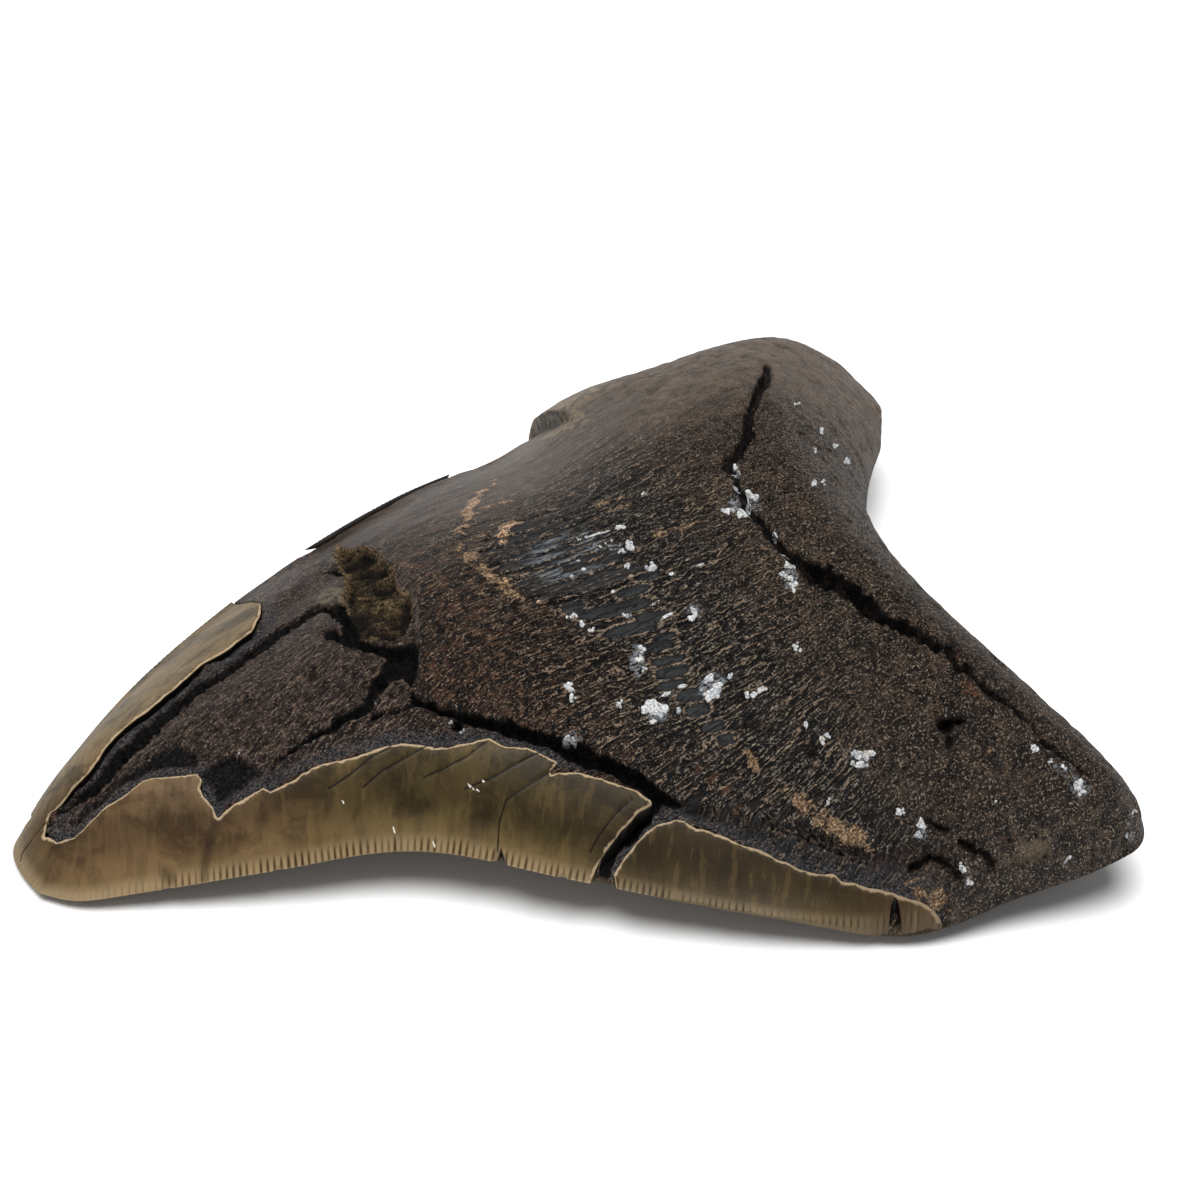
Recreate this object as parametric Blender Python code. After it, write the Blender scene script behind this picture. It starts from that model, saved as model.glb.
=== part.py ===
"""Megalodon tooth lying on its labial face, in metres, +Z up, -X towards the tip.

The tooth is one solid: a loft of sections from the tip to the basal margin of the root, out of which
the broken-away enamel, the hollows and the cracks are cut. The sections and every plan position are in
millimetres from the tip; the finished tooth is moved so that the middle of its box is over the origin.
"""

import bmesh
import bpy
import numpy as np
from mathutils import Vector
from mathutils.bvhtree import BVHTree

MM = 0.001

# Sections across the tooth, from the tip (station 0) to the basal margin of the root (station 1), in mm:
# station, near edge x y z, middle x z, rise of the crest above the edges, far edge x y z
SECTIONS = np.array([
    (0.00, 2.4, -7.6, 1.1, 0.8, 0.9, 0.6, 3.2, 3.2, 1.4),
    (0.05, 6.0, -10.6, 1.4, 5.4, 1.4, 4.7, 6.4, 8.4, 1.6),
    (0.12, 13.7, -13.4, 2.6, 13.5, 2.8, 8.9, 12.4, 15.0, 2.5),
    (0.22, 26.7, -17.4, 4.7, 27.0, 4.4, 11.6, 22.9, 23.2, 4.6),
    (0.35, 43.3, -22.0, 6.5, 42.5, 5.6, 14.6, 41.6, 34.4, 6.7),
    (0.50, 60.0, -33.8, 6.3, 60.5, 5.4, 17.0, 62.3, 45.1, 6.6),
    (0.62, 77.5, -44.8, 4.6, 75.1, 4.2, 19.1, 76.5, 51.4, 4.8),
    (0.72, 93.0, -51.2, 2.0, 86.0, 3.2, 22.4, 86.2, 56.0, 3.4),
    (0.81, 105.0, -52.4, 4.3, 94.4, 5.4, 22.5, 102.0, 54.8, 5.2),
    (0.91, 120.5, -53.2, 7.4, 103.7, 9.2, 21.7, 125.5, 51.0, 9.4),
    (1.00, 127.5, -47.8, 8.0, 115.2, 9.4, 20.0, 137.0, 36.6, 8.8),
])
CROWN_END, ROOT_START = 0.62, 0.82        # stations between which the sharp crown becomes the round root
ROOT_FULLNESS = 2.4                       # exponent of the root's rounded section
BASE_ROUNDING, TIP_ROUNDING = 0.18, 0.03  # stations over which the two ends round off
LOBE_CORNER, LOBE_STATION = 0.16, 0.90    # share of the width by which the lobes' corners round off
EDGE_FLARE, FLARE_WIDTH = 0.3, 0.12       # hollow grind beside the cutting edges
CROWN_BELLY, ROOT_BELLY = 1.0, 7.0        # bulge of the labial face below the edges
ROWS, COLUMNS = 45, 31                    # points of each face along and across the tooth

# Broken areas: plan outline and depth below the whole tooth's surface, in mm
BROKEN = (
    # enamel, lost but for plates along the near edge and at the far edge's tip
    ([(4, -3), (7, -6), (11, -5), (16, -5), (21, -8), (23, -12), (25, -11), (31, -12), (40, -13), (45, -15),
      (51, -17), (56, -20), (60, -23), (65, -26), (69, -29), (68, -31), (63, -33), (64, -34.5), (69, -33),
      (74, -35.5), (80, -40), (86, -45), (92, -49), (97, -51.5), (99, -49), (90, -44), (84, -39), (77, -34),
      (71, -29), (65, -23), (56, -15), (50, -9), (51, -2), (53, 6), (54, 13), (51, 22), (49, 28), (46, 33),
      (41, 32), (38, 25), (38, 20), (36, 15), (31, 12), (24, 10), (13, 3), (7, -0.5)], 1.3),
    # sandy hollow at the broken end of the tip's slab
    ([(48, 27), (50, 24), (53, 18), (53.5, 11), (52, 4), (51, -2), (47.5, -1), (45, 2), (46, 6), (44, 9),
      (45, 13), (47, 17), (47, 22)], 2.7),
    # deep fracture between the slab and the near edge's plates
    ([(37, -10.5), (41, -8.5), (45, -7), (46.5, -5), (47, -2), (50.5, -2.5), (50, -8), (51, -12), (48, -14),
      (45, -11), (42, -12)], 4.2),
    # lost flake on the far side, by the chunk's broken end
    ([(46, 32), (50, 26), (56, 31), (63, 41), (57, 41), (50, 37)], 0.7),
)

# Hollows: plan centre, radii along, across and down, and turn in degrees, all but the last in mm
HOLLOWS = (
    ((102, -40), (2.4, 1.8, 3.0), 30),   # pit in the near lobe
    ((93.5, 1), (1.8, 5.0, 3.0), 0),     # widest part of the root's crack
)

# Cracks: plan line, greatest half-width and depth in mm
CRACKS = (
    ([(46, -9), (50, -12), (56, -17), (61, -22), (65, -25.5), (70, -31), (76, -36)], 1.3, 3.4),
    ([(8, -1), (15, 2), (21, 5), (33, 9), (41, 8.5), (46, 3), (47, -3)], 1.0, 2.4),
    ([(114, 35), (110, 27), (104, 20), (99, 12), (95, 7), (94, 1), (94, -5), (96, -14), (99, -21), (104, -29),
      (107, -37), (111, -45)], 1.6, 4.2),
    ([(94, -45), (98, -47.5), (104, -51)], 0.9, 2.0),
    ([(69.5, -30), (65, -33), (62, -35.5), (60.5, -37)], 1.3, 2.6),
    ([(52.5, -27), (54, -25.5), (57, -23.5)], 0.5, 1.2),
)
CRACK_STEP = 3.0    # distance between a crack's points
CRACK_TAPER = 0.25  # share of the half-width left at a crack's ends

FOSSIL_COLOUR = (0.055, 0.045, 0.04, 1.0)
FOSSIL_ROUGHNESS = 0.6
SHARP_ANGLE = np.radians(35)
PRISM_REACH = 50    # mm above and below the ground plane that a plan outline is drawn to


def cubic(knots, values, at):
    """Smooth curve through values at uneven knots."""
    slope = np.gradient(values, knots)
    i = np.clip(np.searchsorted(knots, at, side="right") - 1, 0, len(knots) - 2)
    h = knots[i + 1] - knots[i]
    u = (at - knots[i]) / h
    start = (2 * u**3 - 3 * u**2 + 1) * values[i] + (u**3 - 2 * u**2 + u) * h * slope[i]
    return start + (-2 * u**3 + 3 * u**2) * values[i + 1] + (u**3 - u**2) * h * slope[i + 1]


def smooth(low, high, x):
    t = np.clip((x - low) / (high - low), 0, 1)
    return t * t * (3 - 2 * t)


def faces_of_tooth(station, across):
    """Plan x and y and the heights of the upper and lower faces, in mm, at stations from the tip (0) to
    the root's basal margin (1) and at places across from the near edge (-1) to the far edge (1)."""
    near_x, near_y, near_z, mid_x, mid_z, rise, far_x, far_y, far_z = (
        cubic(SECTIONS[:, 0], column, station) for column in SECTIONS[:, 1:].T)
    end = np.clip((station - LOBE_STATION) / (1 - LOBE_STATION), 0, 1)
    drawn_in = across * (1 - LOBE_CORNER * (1 - np.sqrt(1 - end**2)))
    t, bend = (drawn_in + 1) / 2, 1 - drawn_in**2

    def through(near, middle, far):
        return near * (1 - t) + far * t + (middle - (near + far) / 2) * bend

    x, y, plane = through(near_x, mid_x, far_x), through(near_y, 0, far_y), through(near_z, mid_z, far_z)
    root = smooth(CROWN_END, ROOT_START, station)
    flare = 1 - EDGE_FLARE * np.exp(-((1 - np.abs(across)) / FLARE_WIDTH) ** 2)
    crown_section = (1 - across**2) * flare
    root_section = np.sqrt(np.clip(1 - np.abs(across) ** ROOT_FULLNESS, 0, 1))
    base = np.clip((station - 1 + BASE_ROUNDING) / BASE_ROUNDING, 0, 1)
    tip = np.clip(1 - station / TIP_ROUNDING, 0, 1)
    close = np.sqrt(np.clip(1 - base**2.2, 0, 1)) * np.sqrt(1 - tip**2)
    upper = plane + rise * (crown_section * (1 - root) + root_section * root) * close
    belly = CROWN_BELLY + (ROOT_BELLY - CROWN_BELLY) * root
    lower = plane - belly * np.sqrt(np.clip(1 - across**2, 0, 1)) * close
    return x, y, upper, np.maximum(lower, 0)


def middle_of_box():
    """Plan position of the middle of the tooth's box, in mm from the tip."""
    station, across = np.meshgrid(np.linspace(0, 1, 401), np.linspace(-1, 1, 201))
    x, y = faces_of_tooth(station, across)[:2]
    return (x.min() + x.max()) / 2, (y.min() + y.max()) / 2


MIDDLE = middle_of_box()


def placed(x, y, z=0.0):
    """A point in mm from the tip as a position in metres from the middle of the tooth's box."""
    return Vector((x - MIDDLE[0], y - MIDDLE[1], z)) * MM


def shaped_grid(mesh, shape):
    """A grid primitive whose points are moved to shape(station, across)."""
    points = bmesh.ops.create_grid(mesh, x_segments=ROWS - 1, y_segments=COLUMNS - 1, size=1)["verts"]
    square = np.array([tuple(p.co) for p in points])
    across = np.sin(square[:, 1] * np.pi / 2)
    along = np.clip((square[:, 0] + 1) / 2, 0, 1)
    station = 0.45 * along + 0.55 * np.sin(along * np.pi / 2) ** 2
    for point, place in zip(points, shape(station, across)):
        point.co = placed(*place)


def upper_face(station, across, drop=0.0):
    x, y, upper, _ = faces_of_tooth(station, across)
    return np.column_stack([x, y, upper - drop])


def lower_face(station, across):
    x, y, _, lower = faces_of_tooth(station, across)
    return np.column_stack([x, y, lower])


def new_object(name, shape, collection):
    """An object from a bmesh, in triangles that face outwards."""
    bmesh.ops.triangulate(shape, faces=shape.faces)
    bmesh.ops.recalc_face_normals(shape, faces=shape.faces)
    mesh = bpy.data.meshes.new(name)
    shape.to_mesh(mesh)
    shape.free()
    made = bpy.data.objects.new(name, mesh)
    collection.objects.link(made)
    return made


def whole_tooth(collection):
    """The unbroken tooth: its upper and lower faces welded along the outline."""
    shape = bmesh.new()
    shaped_grid(shape, upper_face)
    shaped_grid(shape, lower_face)
    bmesh.ops.remove_doubles(shape, verts=shape.verts, dist=1e-6)
    bmesh.ops.dissolve_degenerate(shape, edges=shape.edges, dist=1e-6)
    return new_object("tooth", shape, collection)


def what_is_left(name, depth, collection):
    """All that lies deeper than a depth in mm: the upper face lowered by it and drawn far down."""
    shape = bmesh.new()
    shaped_grid(shape, lambda station, across: upper_face(station, across, depth))
    drawn = bmesh.ops.extrude_face_region(shape, geom=shape.faces[:])
    for part in drawn["geom"]:
        if isinstance(part, bmesh.types.BMVert):
            part.co.z = -2 * PRISM_REACH * MM
    return new_object(name, shape, collection)


def mesh_from_curve(curve, collection):
    """The curve's evaluated shape as a mesh object with welded caps; the curve is removed."""
    depsgraph = bpy.context.evaluated_depsgraph_get()
    mesh = bpy.data.meshes.new_from_object(curve.evaluated_get(depsgraph))
    name, place = curve.name, curve.matrix_world.copy()
    bpy.data.objects.remove(curve)
    shape = bmesh.new()
    shape.from_mesh(mesh)
    bmesh.ops.remove_doubles(shape, verts=shape.verts, dist=1e-6)
    made = new_object(name, shape, collection)
    made.matrix_world = place
    return made


def closed_curve(name, outline, collection):
    """A closed flat curve through points in metres."""
    curve = bpy.data.curves.new(name, "CURVE")
    curve.dimensions = "2D"
    spline = curve.splines.new("POLY")
    spline.points.add(len(outline) - 1)
    for point, (x, y) in zip(spline.points, outline):
        point.co = (x, y, 0, 1)
    spline.use_cyclic_u = True
    made = bpy.data.objects.new(name, curve)
    collection.objects.link(made)
    return made


def plan_prism(name, outline, collection):
    """A plan outline in mm as a tall block, from well below the tooth to well above it."""
    made = closed_curve(name, [placed(*point).xy for point in outline], collection)
    made.data.fill_mode = "BOTH"
    made.data.extrude = PRISM_REACH * MM
    bpy.context.view_layer.update()
    return mesh_from_curve(made, collection)


def crack_cutter(name, line, half_width, depth, surface, collection):
    """A pointed tube along a plan line, centred on the tooth's surface, thinner towards its ends."""
    line = np.array(line, float)
    length = np.concatenate([[0], np.cumsum(np.hypot(*np.diff(line, axis=0).T))])
    at = np.linspace(0, length[-1], int(length[-1] / CRACK_STEP) + 2)
    x, y = (cubic(length, line[:, k], at) for k in (0, 1))
    taper = CRACK_TAPER + (1 - CRACK_TAPER) * np.sin(np.pi * at / length[-1])
    w, d = half_width * MM, depth * MM
    section = closed_curve(name + "_section", [(w, 0), (0, d), (-w, 0), (0, -d)], collection)
    curve = bpy.data.curves.new(name, "CURVE")
    curve.dimensions = "3D"
    curve.bevel_mode = "OBJECT"
    curve.bevel_object = section
    curve.use_fill_caps = True
    curve.twist_mode = "Z_UP"
    spline = curve.splines.new("POLY")
    spline.points.add(len(at) - 1)
    for point, px, py, size in zip(spline.points, x, y, taper):
        point.co = (*on_surface(surface, px, py), 1)
        point.radius = size
    made = bpy.data.objects.new(name, curve)
    collection.objects.link(made)
    bpy.context.view_layer.update()
    cutter = mesh_from_curve(made, collection)
    bpy.data.objects.remove(section)
    return cutter


def hollow_cutter(name, centre, radii, turn, surface, collection):
    """An ellipsoid centred on the tooth's surface."""
    shape = bmesh.new()
    bmesh.ops.create_uvsphere(shape, u_segments=20, v_segments=10, radius=1)
    bmesh.ops.scale(shape, vec=Vector(radii) * MM, verts=shape.verts)
    made = new_object(name, shape, collection)
    made.location = on_surface(surface, *centre)
    made.rotation_euler.z = np.radians(turn)
    return made


def on_surface(surface, x, y):
    """The surface's point over a plan point in mm; off the tooth, the plan point at the edge's height."""
    above = placed(x, y) + Vector((0, 0, 1))
    hit = surface.ray_cast(above, Vector((0, 0, -1)))[0] or surface.find_nearest(above)[0]
    return above.xy.to_3d() + Vector((0, 0, hit.z))


def cut(target, cutter):
    change = target.modifiers.new("cut_" + cutter.name, "BOOLEAN")
    change.operation = "DIFFERENCE"
    change.solver = "EXACT"
    change.object = cutter
    cutter.hide_render = True
    cutter.display_type = "WIRE"


def fossil_material():
    material = bpy.data.materials.new("fossil_tooth")
    material.use_nodes = True
    shader = material.node_tree.nodes["Principled BSDF"]
    shader.inputs["Base Color"].default_value = FOSSIL_COLOUR
    shader.inputs["Roughness"].default_value = FOSSIL_ROUGHNESS
    shader.inputs["Metallic"].default_value = 0.0
    return material


def main():
    for obj in list(bpy.data.objects):
        bpy.data.objects.remove(obj)
    parts = bpy.data.collections.new("megalodon_tooth")
    cutters = bpy.data.collections.new("cutters")
    for collection in (parts, cutters):
        bpy.context.scene.collection.children.link(collection)

    tooth = whole_tooth(parts)
    bpy.context.view_layer.update()
    surface = BVHTree.FromObject(tooth, bpy.context.evaluated_depsgraph_get())
    for number, (outline, depth) in enumerate(BROKEN):
        lost = plan_prism(f"broken_{number}", outline, cutters)
        cut(lost, what_is_left(f"left_{number}", depth, cutters))
        cut(tooth, lost)
    for number, (centre, radii, turn) in enumerate(HOLLOWS):
        cut(tooth, hollow_cutter(f"hollow_{number}", centre, radii, turn, surface, cutters))
    for number, (line, half_width, depth) in enumerate(CRACKS):
        cut(tooth, crack_cutter(f"crack_{number}", line, half_width, depth, surface, cutters))
    tooth.data.materials.append(fossil_material())
    tooth.data.shade_smooth()
    tooth.data.set_sharp_from_angle(angle=SHARP_ANGLE)


main()
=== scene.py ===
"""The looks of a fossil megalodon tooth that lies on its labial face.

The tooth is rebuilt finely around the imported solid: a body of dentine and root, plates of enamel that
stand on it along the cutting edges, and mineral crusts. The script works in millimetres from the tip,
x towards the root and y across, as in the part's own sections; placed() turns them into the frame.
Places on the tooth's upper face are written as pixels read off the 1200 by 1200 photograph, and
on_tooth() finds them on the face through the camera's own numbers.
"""

import bpy
import numpy as np
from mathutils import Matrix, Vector
from mathutils.geometry import delaunay_2d_cdt


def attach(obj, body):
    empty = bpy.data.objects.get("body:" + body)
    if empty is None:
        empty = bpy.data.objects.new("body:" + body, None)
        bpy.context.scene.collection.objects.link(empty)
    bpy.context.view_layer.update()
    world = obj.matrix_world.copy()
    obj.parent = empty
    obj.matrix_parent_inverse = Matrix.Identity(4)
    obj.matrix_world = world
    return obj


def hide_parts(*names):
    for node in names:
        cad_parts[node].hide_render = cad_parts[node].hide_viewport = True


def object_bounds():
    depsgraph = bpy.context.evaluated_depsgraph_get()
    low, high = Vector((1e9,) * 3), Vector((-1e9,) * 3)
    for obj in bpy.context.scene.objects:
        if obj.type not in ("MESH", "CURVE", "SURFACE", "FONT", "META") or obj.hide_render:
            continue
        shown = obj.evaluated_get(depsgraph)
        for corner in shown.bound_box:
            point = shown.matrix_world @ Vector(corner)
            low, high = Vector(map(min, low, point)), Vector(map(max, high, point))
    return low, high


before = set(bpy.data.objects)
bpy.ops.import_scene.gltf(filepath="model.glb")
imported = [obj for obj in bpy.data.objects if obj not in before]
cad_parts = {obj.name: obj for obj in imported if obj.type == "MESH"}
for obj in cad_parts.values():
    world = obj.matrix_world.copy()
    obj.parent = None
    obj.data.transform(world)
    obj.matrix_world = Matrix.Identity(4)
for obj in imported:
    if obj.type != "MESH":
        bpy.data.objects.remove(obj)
CAD_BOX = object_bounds()

MM = 0.001

# ------------------------------------------------------------------ the camera, in mm from the tip

CAMERA_AZIMUTH, CAMERA_ELEVATION = -21.31, 37.87
CAMERA_DISTANCE = 330.43
CAMERA_TARGET = (79.45, 10.82, 9.16)
CAMERA_LENS, CAMERA_SENSOR = 77.435, 36.0
PHOTO_SIZE = 1200    # pixels
PIXELS_PER_MM = 7.8  # on the tooth, for the widths of what is drawn on it

# ------------------------------------------------------------------ the tooth's form, as in its solid

# station, near edge x y z, middle x z, rise of the crest above the edges, far edge x y z, in mm
SECTIONS = np.array([
    (0.00, 2.4, -7.6, 1.1, 0.8, 0.9, 0.6, 3.2, 3.2, 1.4),
    (0.05, 6.0, -10.6, 1.4, 5.4, 1.4, 4.7, 6.4, 8.4, 1.6),
    (0.12, 13.7, -13.4, 2.6, 13.5, 2.8, 8.9, 12.4, 15.0, 2.5),
    (0.22, 26.7, -17.4, 4.7, 27.0, 4.4, 11.6, 22.9, 23.2, 4.6),
    (0.35, 43.3, -22.0, 6.5, 42.5, 5.6, 14.6, 41.6, 34.4, 6.7),
    (0.50, 60.0, -33.8, 6.3, 60.5, 5.4, 17.0, 62.3, 45.1, 6.6),
    (0.62, 77.5, -44.8, 4.6, 75.1, 4.2, 19.1, 76.5, 51.4, 4.8),
    (0.72, 93.0, -51.2, 2.0, 86.0, 3.2, 22.4, 86.2, 56.0, 3.4),
    (0.81, 105.0, -52.4, 4.3, 94.4, 5.4, 22.5, 102.0, 54.8, 5.2),
    (0.91, 120.5, -53.2, 7.4, 103.7, 9.2, 21.7, 125.5, 51.0, 9.4),
    (1.00, 127.5, -47.8, 8.0, 115.2, 9.4, 20.0, 137.0, 36.6, 8.8),
])
CROWN_END, ROOT_START = 0.62, 0.82        # stations between which the crown turns into the root
ROOT_FULLNESS = 2.4                       # power of the root's section: 2 would make it an ellipse
BASE_ROUNDING, TIP_ROUNDING = 0.18, 0.03  # the stations over which the tooth closes at its ends
LOBE_CORNER, LOBE_STATION = 0.16, 0.90    # how far the lobes' corners are drawn in, and from where
EDGE_FLARE, FLARE_WIDTH = 0.3, 0.12       # the crown's hollow beside its cutting edges
CROWN_BELLY, ROOT_BELLY = 1.0, 7.0        # how far the labial face bulges, in mm

# ------------------------------------------------------------------ what time has done to it

ENAMEL = 1.1  # thickness, in mm

# Enamel plates: the ledge that bounds each, in pixels, from its near or root end to its other end
TIP_LEDGE = [
    (591, 874), (595, 867), (604, 852), (614, 840), (626, 826), (638, 814), (651, 804), (651, 800),
    (638, 792), (619, 785), (602, 779), (580, 772), (564, 773), (551, 775), (551, 771), (557, 762),
    (547, 756), (537, 751), (527, 747), (506, 747), (498, 743), (488, 738), (469, 742), (453, 747),
    (436, 748), (416, 745), (401, 743), (387, 746), (375, 749), (358, 756), (336, 760), (317, 766),
    (302, 773), (292, 780), (280, 787), (270, 791), (263, 787), (253, 792), (244, 798), (234, 804),
    (227, 809), (217, 817), (212, 808), (205, 798), (198, 788), (202, 779), (198, 773), (185, 775),
    (170, 776), (156, 777), (141, 780), (131, 788), (122, 796), (110, 803), (102, 810), (90, 820),
    (80, 832), (73, 838), (56, 842), (43, 836), (49, 815), (61, 803), (73, 787), (85, 774), (97, 759),
    (105, 746), (119, 731), (131, 721), (146, 710), (161, 698), (183, 679), (202, 662), (219, 654),
    (228, 648), (240, 637), (251, 630), (261, 611), (259, 602)]
TIP_LEDGE_END = [(37.3, 24.5), (36.9, 28), (36.2, 31.2)]  # beyond the crest, in mm
ROOT_LEDGE = [
    (943, 915), (926, 907), (909, 900), (894, 894), (882, 891), (867, 888), (853, 884), (841, 881),
    (833, 875), (816, 874), (802, 871), (787, 864), (775, 858), (760, 851), (743, 845), (726, 838),
    (709, 831), (697, 829), (685, 821), (675, 820), (660, 824), (648, 832), (636, 845), (624, 859),
    (614, 874), (614, 893)]
FAR_LEDGE = [  # in mm
    (48, 37.7), (50, 37.8), (54, 39.9), (59, 42.5), (64, 45.1), (69, 47.4), (71.4, 48.3), (72, 49.5)]

BARE = [  # plan outline in mm inside which the enamel is gone and the dentine shows
    (4, -3), (7, -6), (11, -5), (16, -5), (21, -8), (23, -12), (25, -11), (28, -12), (35, -12), (40, -13),
    (45, -15), (51, -17), (56, -20), (60, -23), (65, -26), (69, -29.5), (68, -31), (64, -33), (61, -34.5),
    (62.5, -37), (64, -34.5), (69, -33), (74, -35), (80, -40), (86, -45), (92, -49), (97, -52), (99, -49),
    (90, -44.5), (84, -39.5), (77, -35), (71, -31.5), (65, -25), (58, -19), (53, -15), (49, -11), (50, -6),
    (51, -2), (53, 5), (54, 13), (52, 20), (49, 24), (44, 25), (40, 23.5), (38, 20), (36, 15),
    (31, 12), (24, 10), (13, 3), (7, -0.5)]
SANDY = [(334, 547), (348, 551), (367, 551), (381, 559), (393, 571), (399, 588), (412, 598), (412, 616),
         (404, 635), (395, 643), (371, 641), (360, 641), (350, 635), (342, 618), (340, 602), (340, 588),
         (339, 573), (332, 561)]
GAP = [(383, 647), (398, 646), (412, 640), (420, 655), (418, 672), (412, 690), (402, 682), (392, 684),
       (384, 676), (386, 662)]
GRANULAR = ([(198, 775), (210, 764), (232, 759), (248, 768), (262, 782), (246, 793), (230, 803), (217, 814),
             (207, 796), (199, 786)],
            [(58, 832), (80, 815), (100, 797), (125, 775), (150, 757), (175, 745), (196, 760), (196, 772),
             (150, 775), (120, 790), (95, 812), (70, 835)])
SHARDS = ([(401, 680), (410, 694), (411, 707), (401, 714), (387, 717), (375, 717), (373, 705), (383, 692)],
          [(375, 725), (391, 719), (410, 711), (424, 710), (438, 717), (443, 737), (424, 741), (404, 743),
           (383, 743), (372, 741)],
          [(297, 758), (321, 744), (346, 727), (369, 717), (372, 738), (350, 748), (322, 757)])
FLAKED = [(46, 33), (50, 27), (56, 31), (64, 41), (60, 43), (50, 37)]  # plan outline in mm

# Cracks in pixels: x, y and half-width; a crack is DEEPER times its half-width deep
DEEPER = 2.6
CRACKS = {
    "root": [(768, 364, 4), (766, 376, 6), (761, 388, 6), (754, 401, 5), (748, 415, 5), (747, 427, 6),
             (747, 437, 6), (739, 449, 7), (729, 459, 6), (725, 466, 5), (734, 476, 2.5), (736, 488, 2.5),
             (743, 500, 4), (749, 513, 3), (761, 522, 3), (768, 535, 4), (778, 544, 3.5), (788, 554, 4),
             (800, 564, 5), (810, 569, 8), (822, 576, 9), (839, 586, 7), (856, 595, 8), (868, 608, 9),
             (885, 620, 6), (901, 626, 6), (915, 631, 6), (929, 641, 5), (938, 649, 5)],
    "root end": [(950, 648, 6), (959, 668, 3), (971, 668, 5), (975, 680, 3), (991, 692, 3.5),
                 (1003, 701, 3), (1017, 712, 3), (1026, 719, 2), (1047, 749, 2), (1056, 751, 2),
                 (1072, 763, 2), (1091, 775, 1.5)],
    "root branch": [(762, 412, 2), (768, 403, 1.5)],
    "strip": [(350, 640, 7), (344, 622, 8), (330, 608, 8), (316, 609, 9), (300, 617, 8),
              (280, 630, 9), (262, 643, 9), (245, 655, 10), (228, 667, 10), (210, 678, 11), (195, 687, 12),
              (180, 699, 12), (163, 714, 12), (147, 729, 12), (130, 745, 11), (113, 762, 11), (98, 779, 10),
              (84, 793, 8), (70, 804, 6), (55, 818, 4)],
    "hollow": [(350, 640, 7), (366, 648, 6), (384, 652, 6), (394, 660, 7), (392, 668, 7)],
    "chunk": [(321, 575, 2), (330, 572, 4), (342, 574, 3)],
    "slab": [(388, 668, 6), (381, 682, 7), (371, 697, 6), (363, 711, 6), (348, 721, 4), (332, 731, 3.5),
             (317, 739, 3), (301, 750, 3), (285, 760, 2), (268, 772, 1.2)],
    "shard": [(371, 723, 3), (387, 718, 3), (401, 713, 3), (412, 707, 3)],
    "dome": [(405, 690, 5), (410, 694, 4), (416, 700, 3.5), (430, 705, 3.5), (438, 711, 3.5), (455, 714, 3),
             (471, 719, 4), (486, 722, 4), (506, 727, 5), (527, 733, 5), (543, 739, 5), (564, 746, 6),
             (580, 754, 7), (600, 763, 6), (622, 773, 6), (645, 787, 6), (662, 800, 4), (680, 806, 2)],
    "plates": [(655, 806, 5), (646, 817, 6), (634, 828, 6), (622, 842, 5), (611, 856, 5), (604, 872, 6)],
    "shoulder": [(926, 824, 2), (938, 830, 2.5), (950, 835, 2)],
    "shoulder end": [(961, 846, 2), (973, 854, 3), (985, 862, 3), (994, 870, 2)],
    "shoulder front": [(911, 871, 2), (929, 862, 2.5), (943, 867, 2.5), (959, 876, 2)],
    "slab lines": [(231, 686, 0.8), (246, 700, 1), (275, 708, 1), (290, 720, 1), (302, 728, 0.8)]}
CRACKS_IN_BARE = ("strip", "hollow", "chunk", "slab", "shard", "slab lines")
PITS = [  # in pixels: x, y, half-length and half-width; then the depth in mm
    (946, 727, 11, 8, 1.9), (960, 723, 9, 4, 1.2), (950, 742, 5, 7, 0.9), (345, 632, 13, 9, 2.4),
    (328, 627, 8, 7, 2.0), (455, 725, 8, 7, 1.5), (727, 425, 5, 4, 0.5), (168, 877, 3, 3, 0.2),
    (810, 748, 9, 12, 0.5), (311, 669, 8, 9, 0.45), (1008, 845, 4, 3, 0.5), (1045, 858, 4, 3, 0.5),
    (862, 690, 3, 3, 0.5), (900, 600, 4, 3, 0.5), (1075, 786, 3, 3, 0.4), (915, 784, 3, 2, 0.4)]

# The tan mineral ring, its streaks and other stains
RING = [  # in pixels: x, y and half-width
    (495, 481, 2), (479, 497, 5), (471, 508, 8), (467, 522, 8), (461, 532, 4), (458, 547, 3), (469, 560, 5),
    (479, 565, 5), (487, 573, 6), (497, 581, 6), (506, 590, 6), (514, 595, 5), (522, 600, 3), (530, 602, 2),
    (540, 606, 1.5), (555, 608, 1), (563, 614, 1)]
TAN_LINES = [  # in pixels: x, y and half-width
    [(499, 545, 3), (503, 539, 4), (508, 532, 7), (513, 526, 7), (516, 521, 5)],
    [(787, 799, 3), (797, 804, 5), (812, 812, 6), (828, 823, 7), (843, 834, 8), (858, 844, 6),
     (872, 851, 3)],
    [(905, 888, 2), (916, 894, 4), (930, 900, 4), (945, 908, 3)],
    [(733, 733, 3), (741, 747, 3), (748, 759, 3), (760, 771, 2)],
    [(978, 751, 1), (988, 753, 1.6), (998, 756, 1)],
    [(486, 508, 1), (500, 504, 1.4), (513, 501, 1)],
    [(609, 513, 1), (625, 506, 1.6), (644, 498, 1.2)],
    [(653, 536, 1), (676, 530, 1.8), (703, 523, 1.6)],
    [(590, 509, 0.8), (612, 503, 1), (640, 494, 0.8)]]
RUST = [  # in pixels: centre, half-length, half-width and turn
    (697, 771, 8, 3, 50), (711, 782, 9, 3, 45), (726, 793, 8, 4, 50), (736, 813, 8, 4, 45),
    (750, 830, 7, 3, 35), (431, 667, 2.5, 4, 0), (921, 905, 9, 4, -25), (970, 690, 14, 5, -40),
    (955, 655, 8, 4, -40)]
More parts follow.
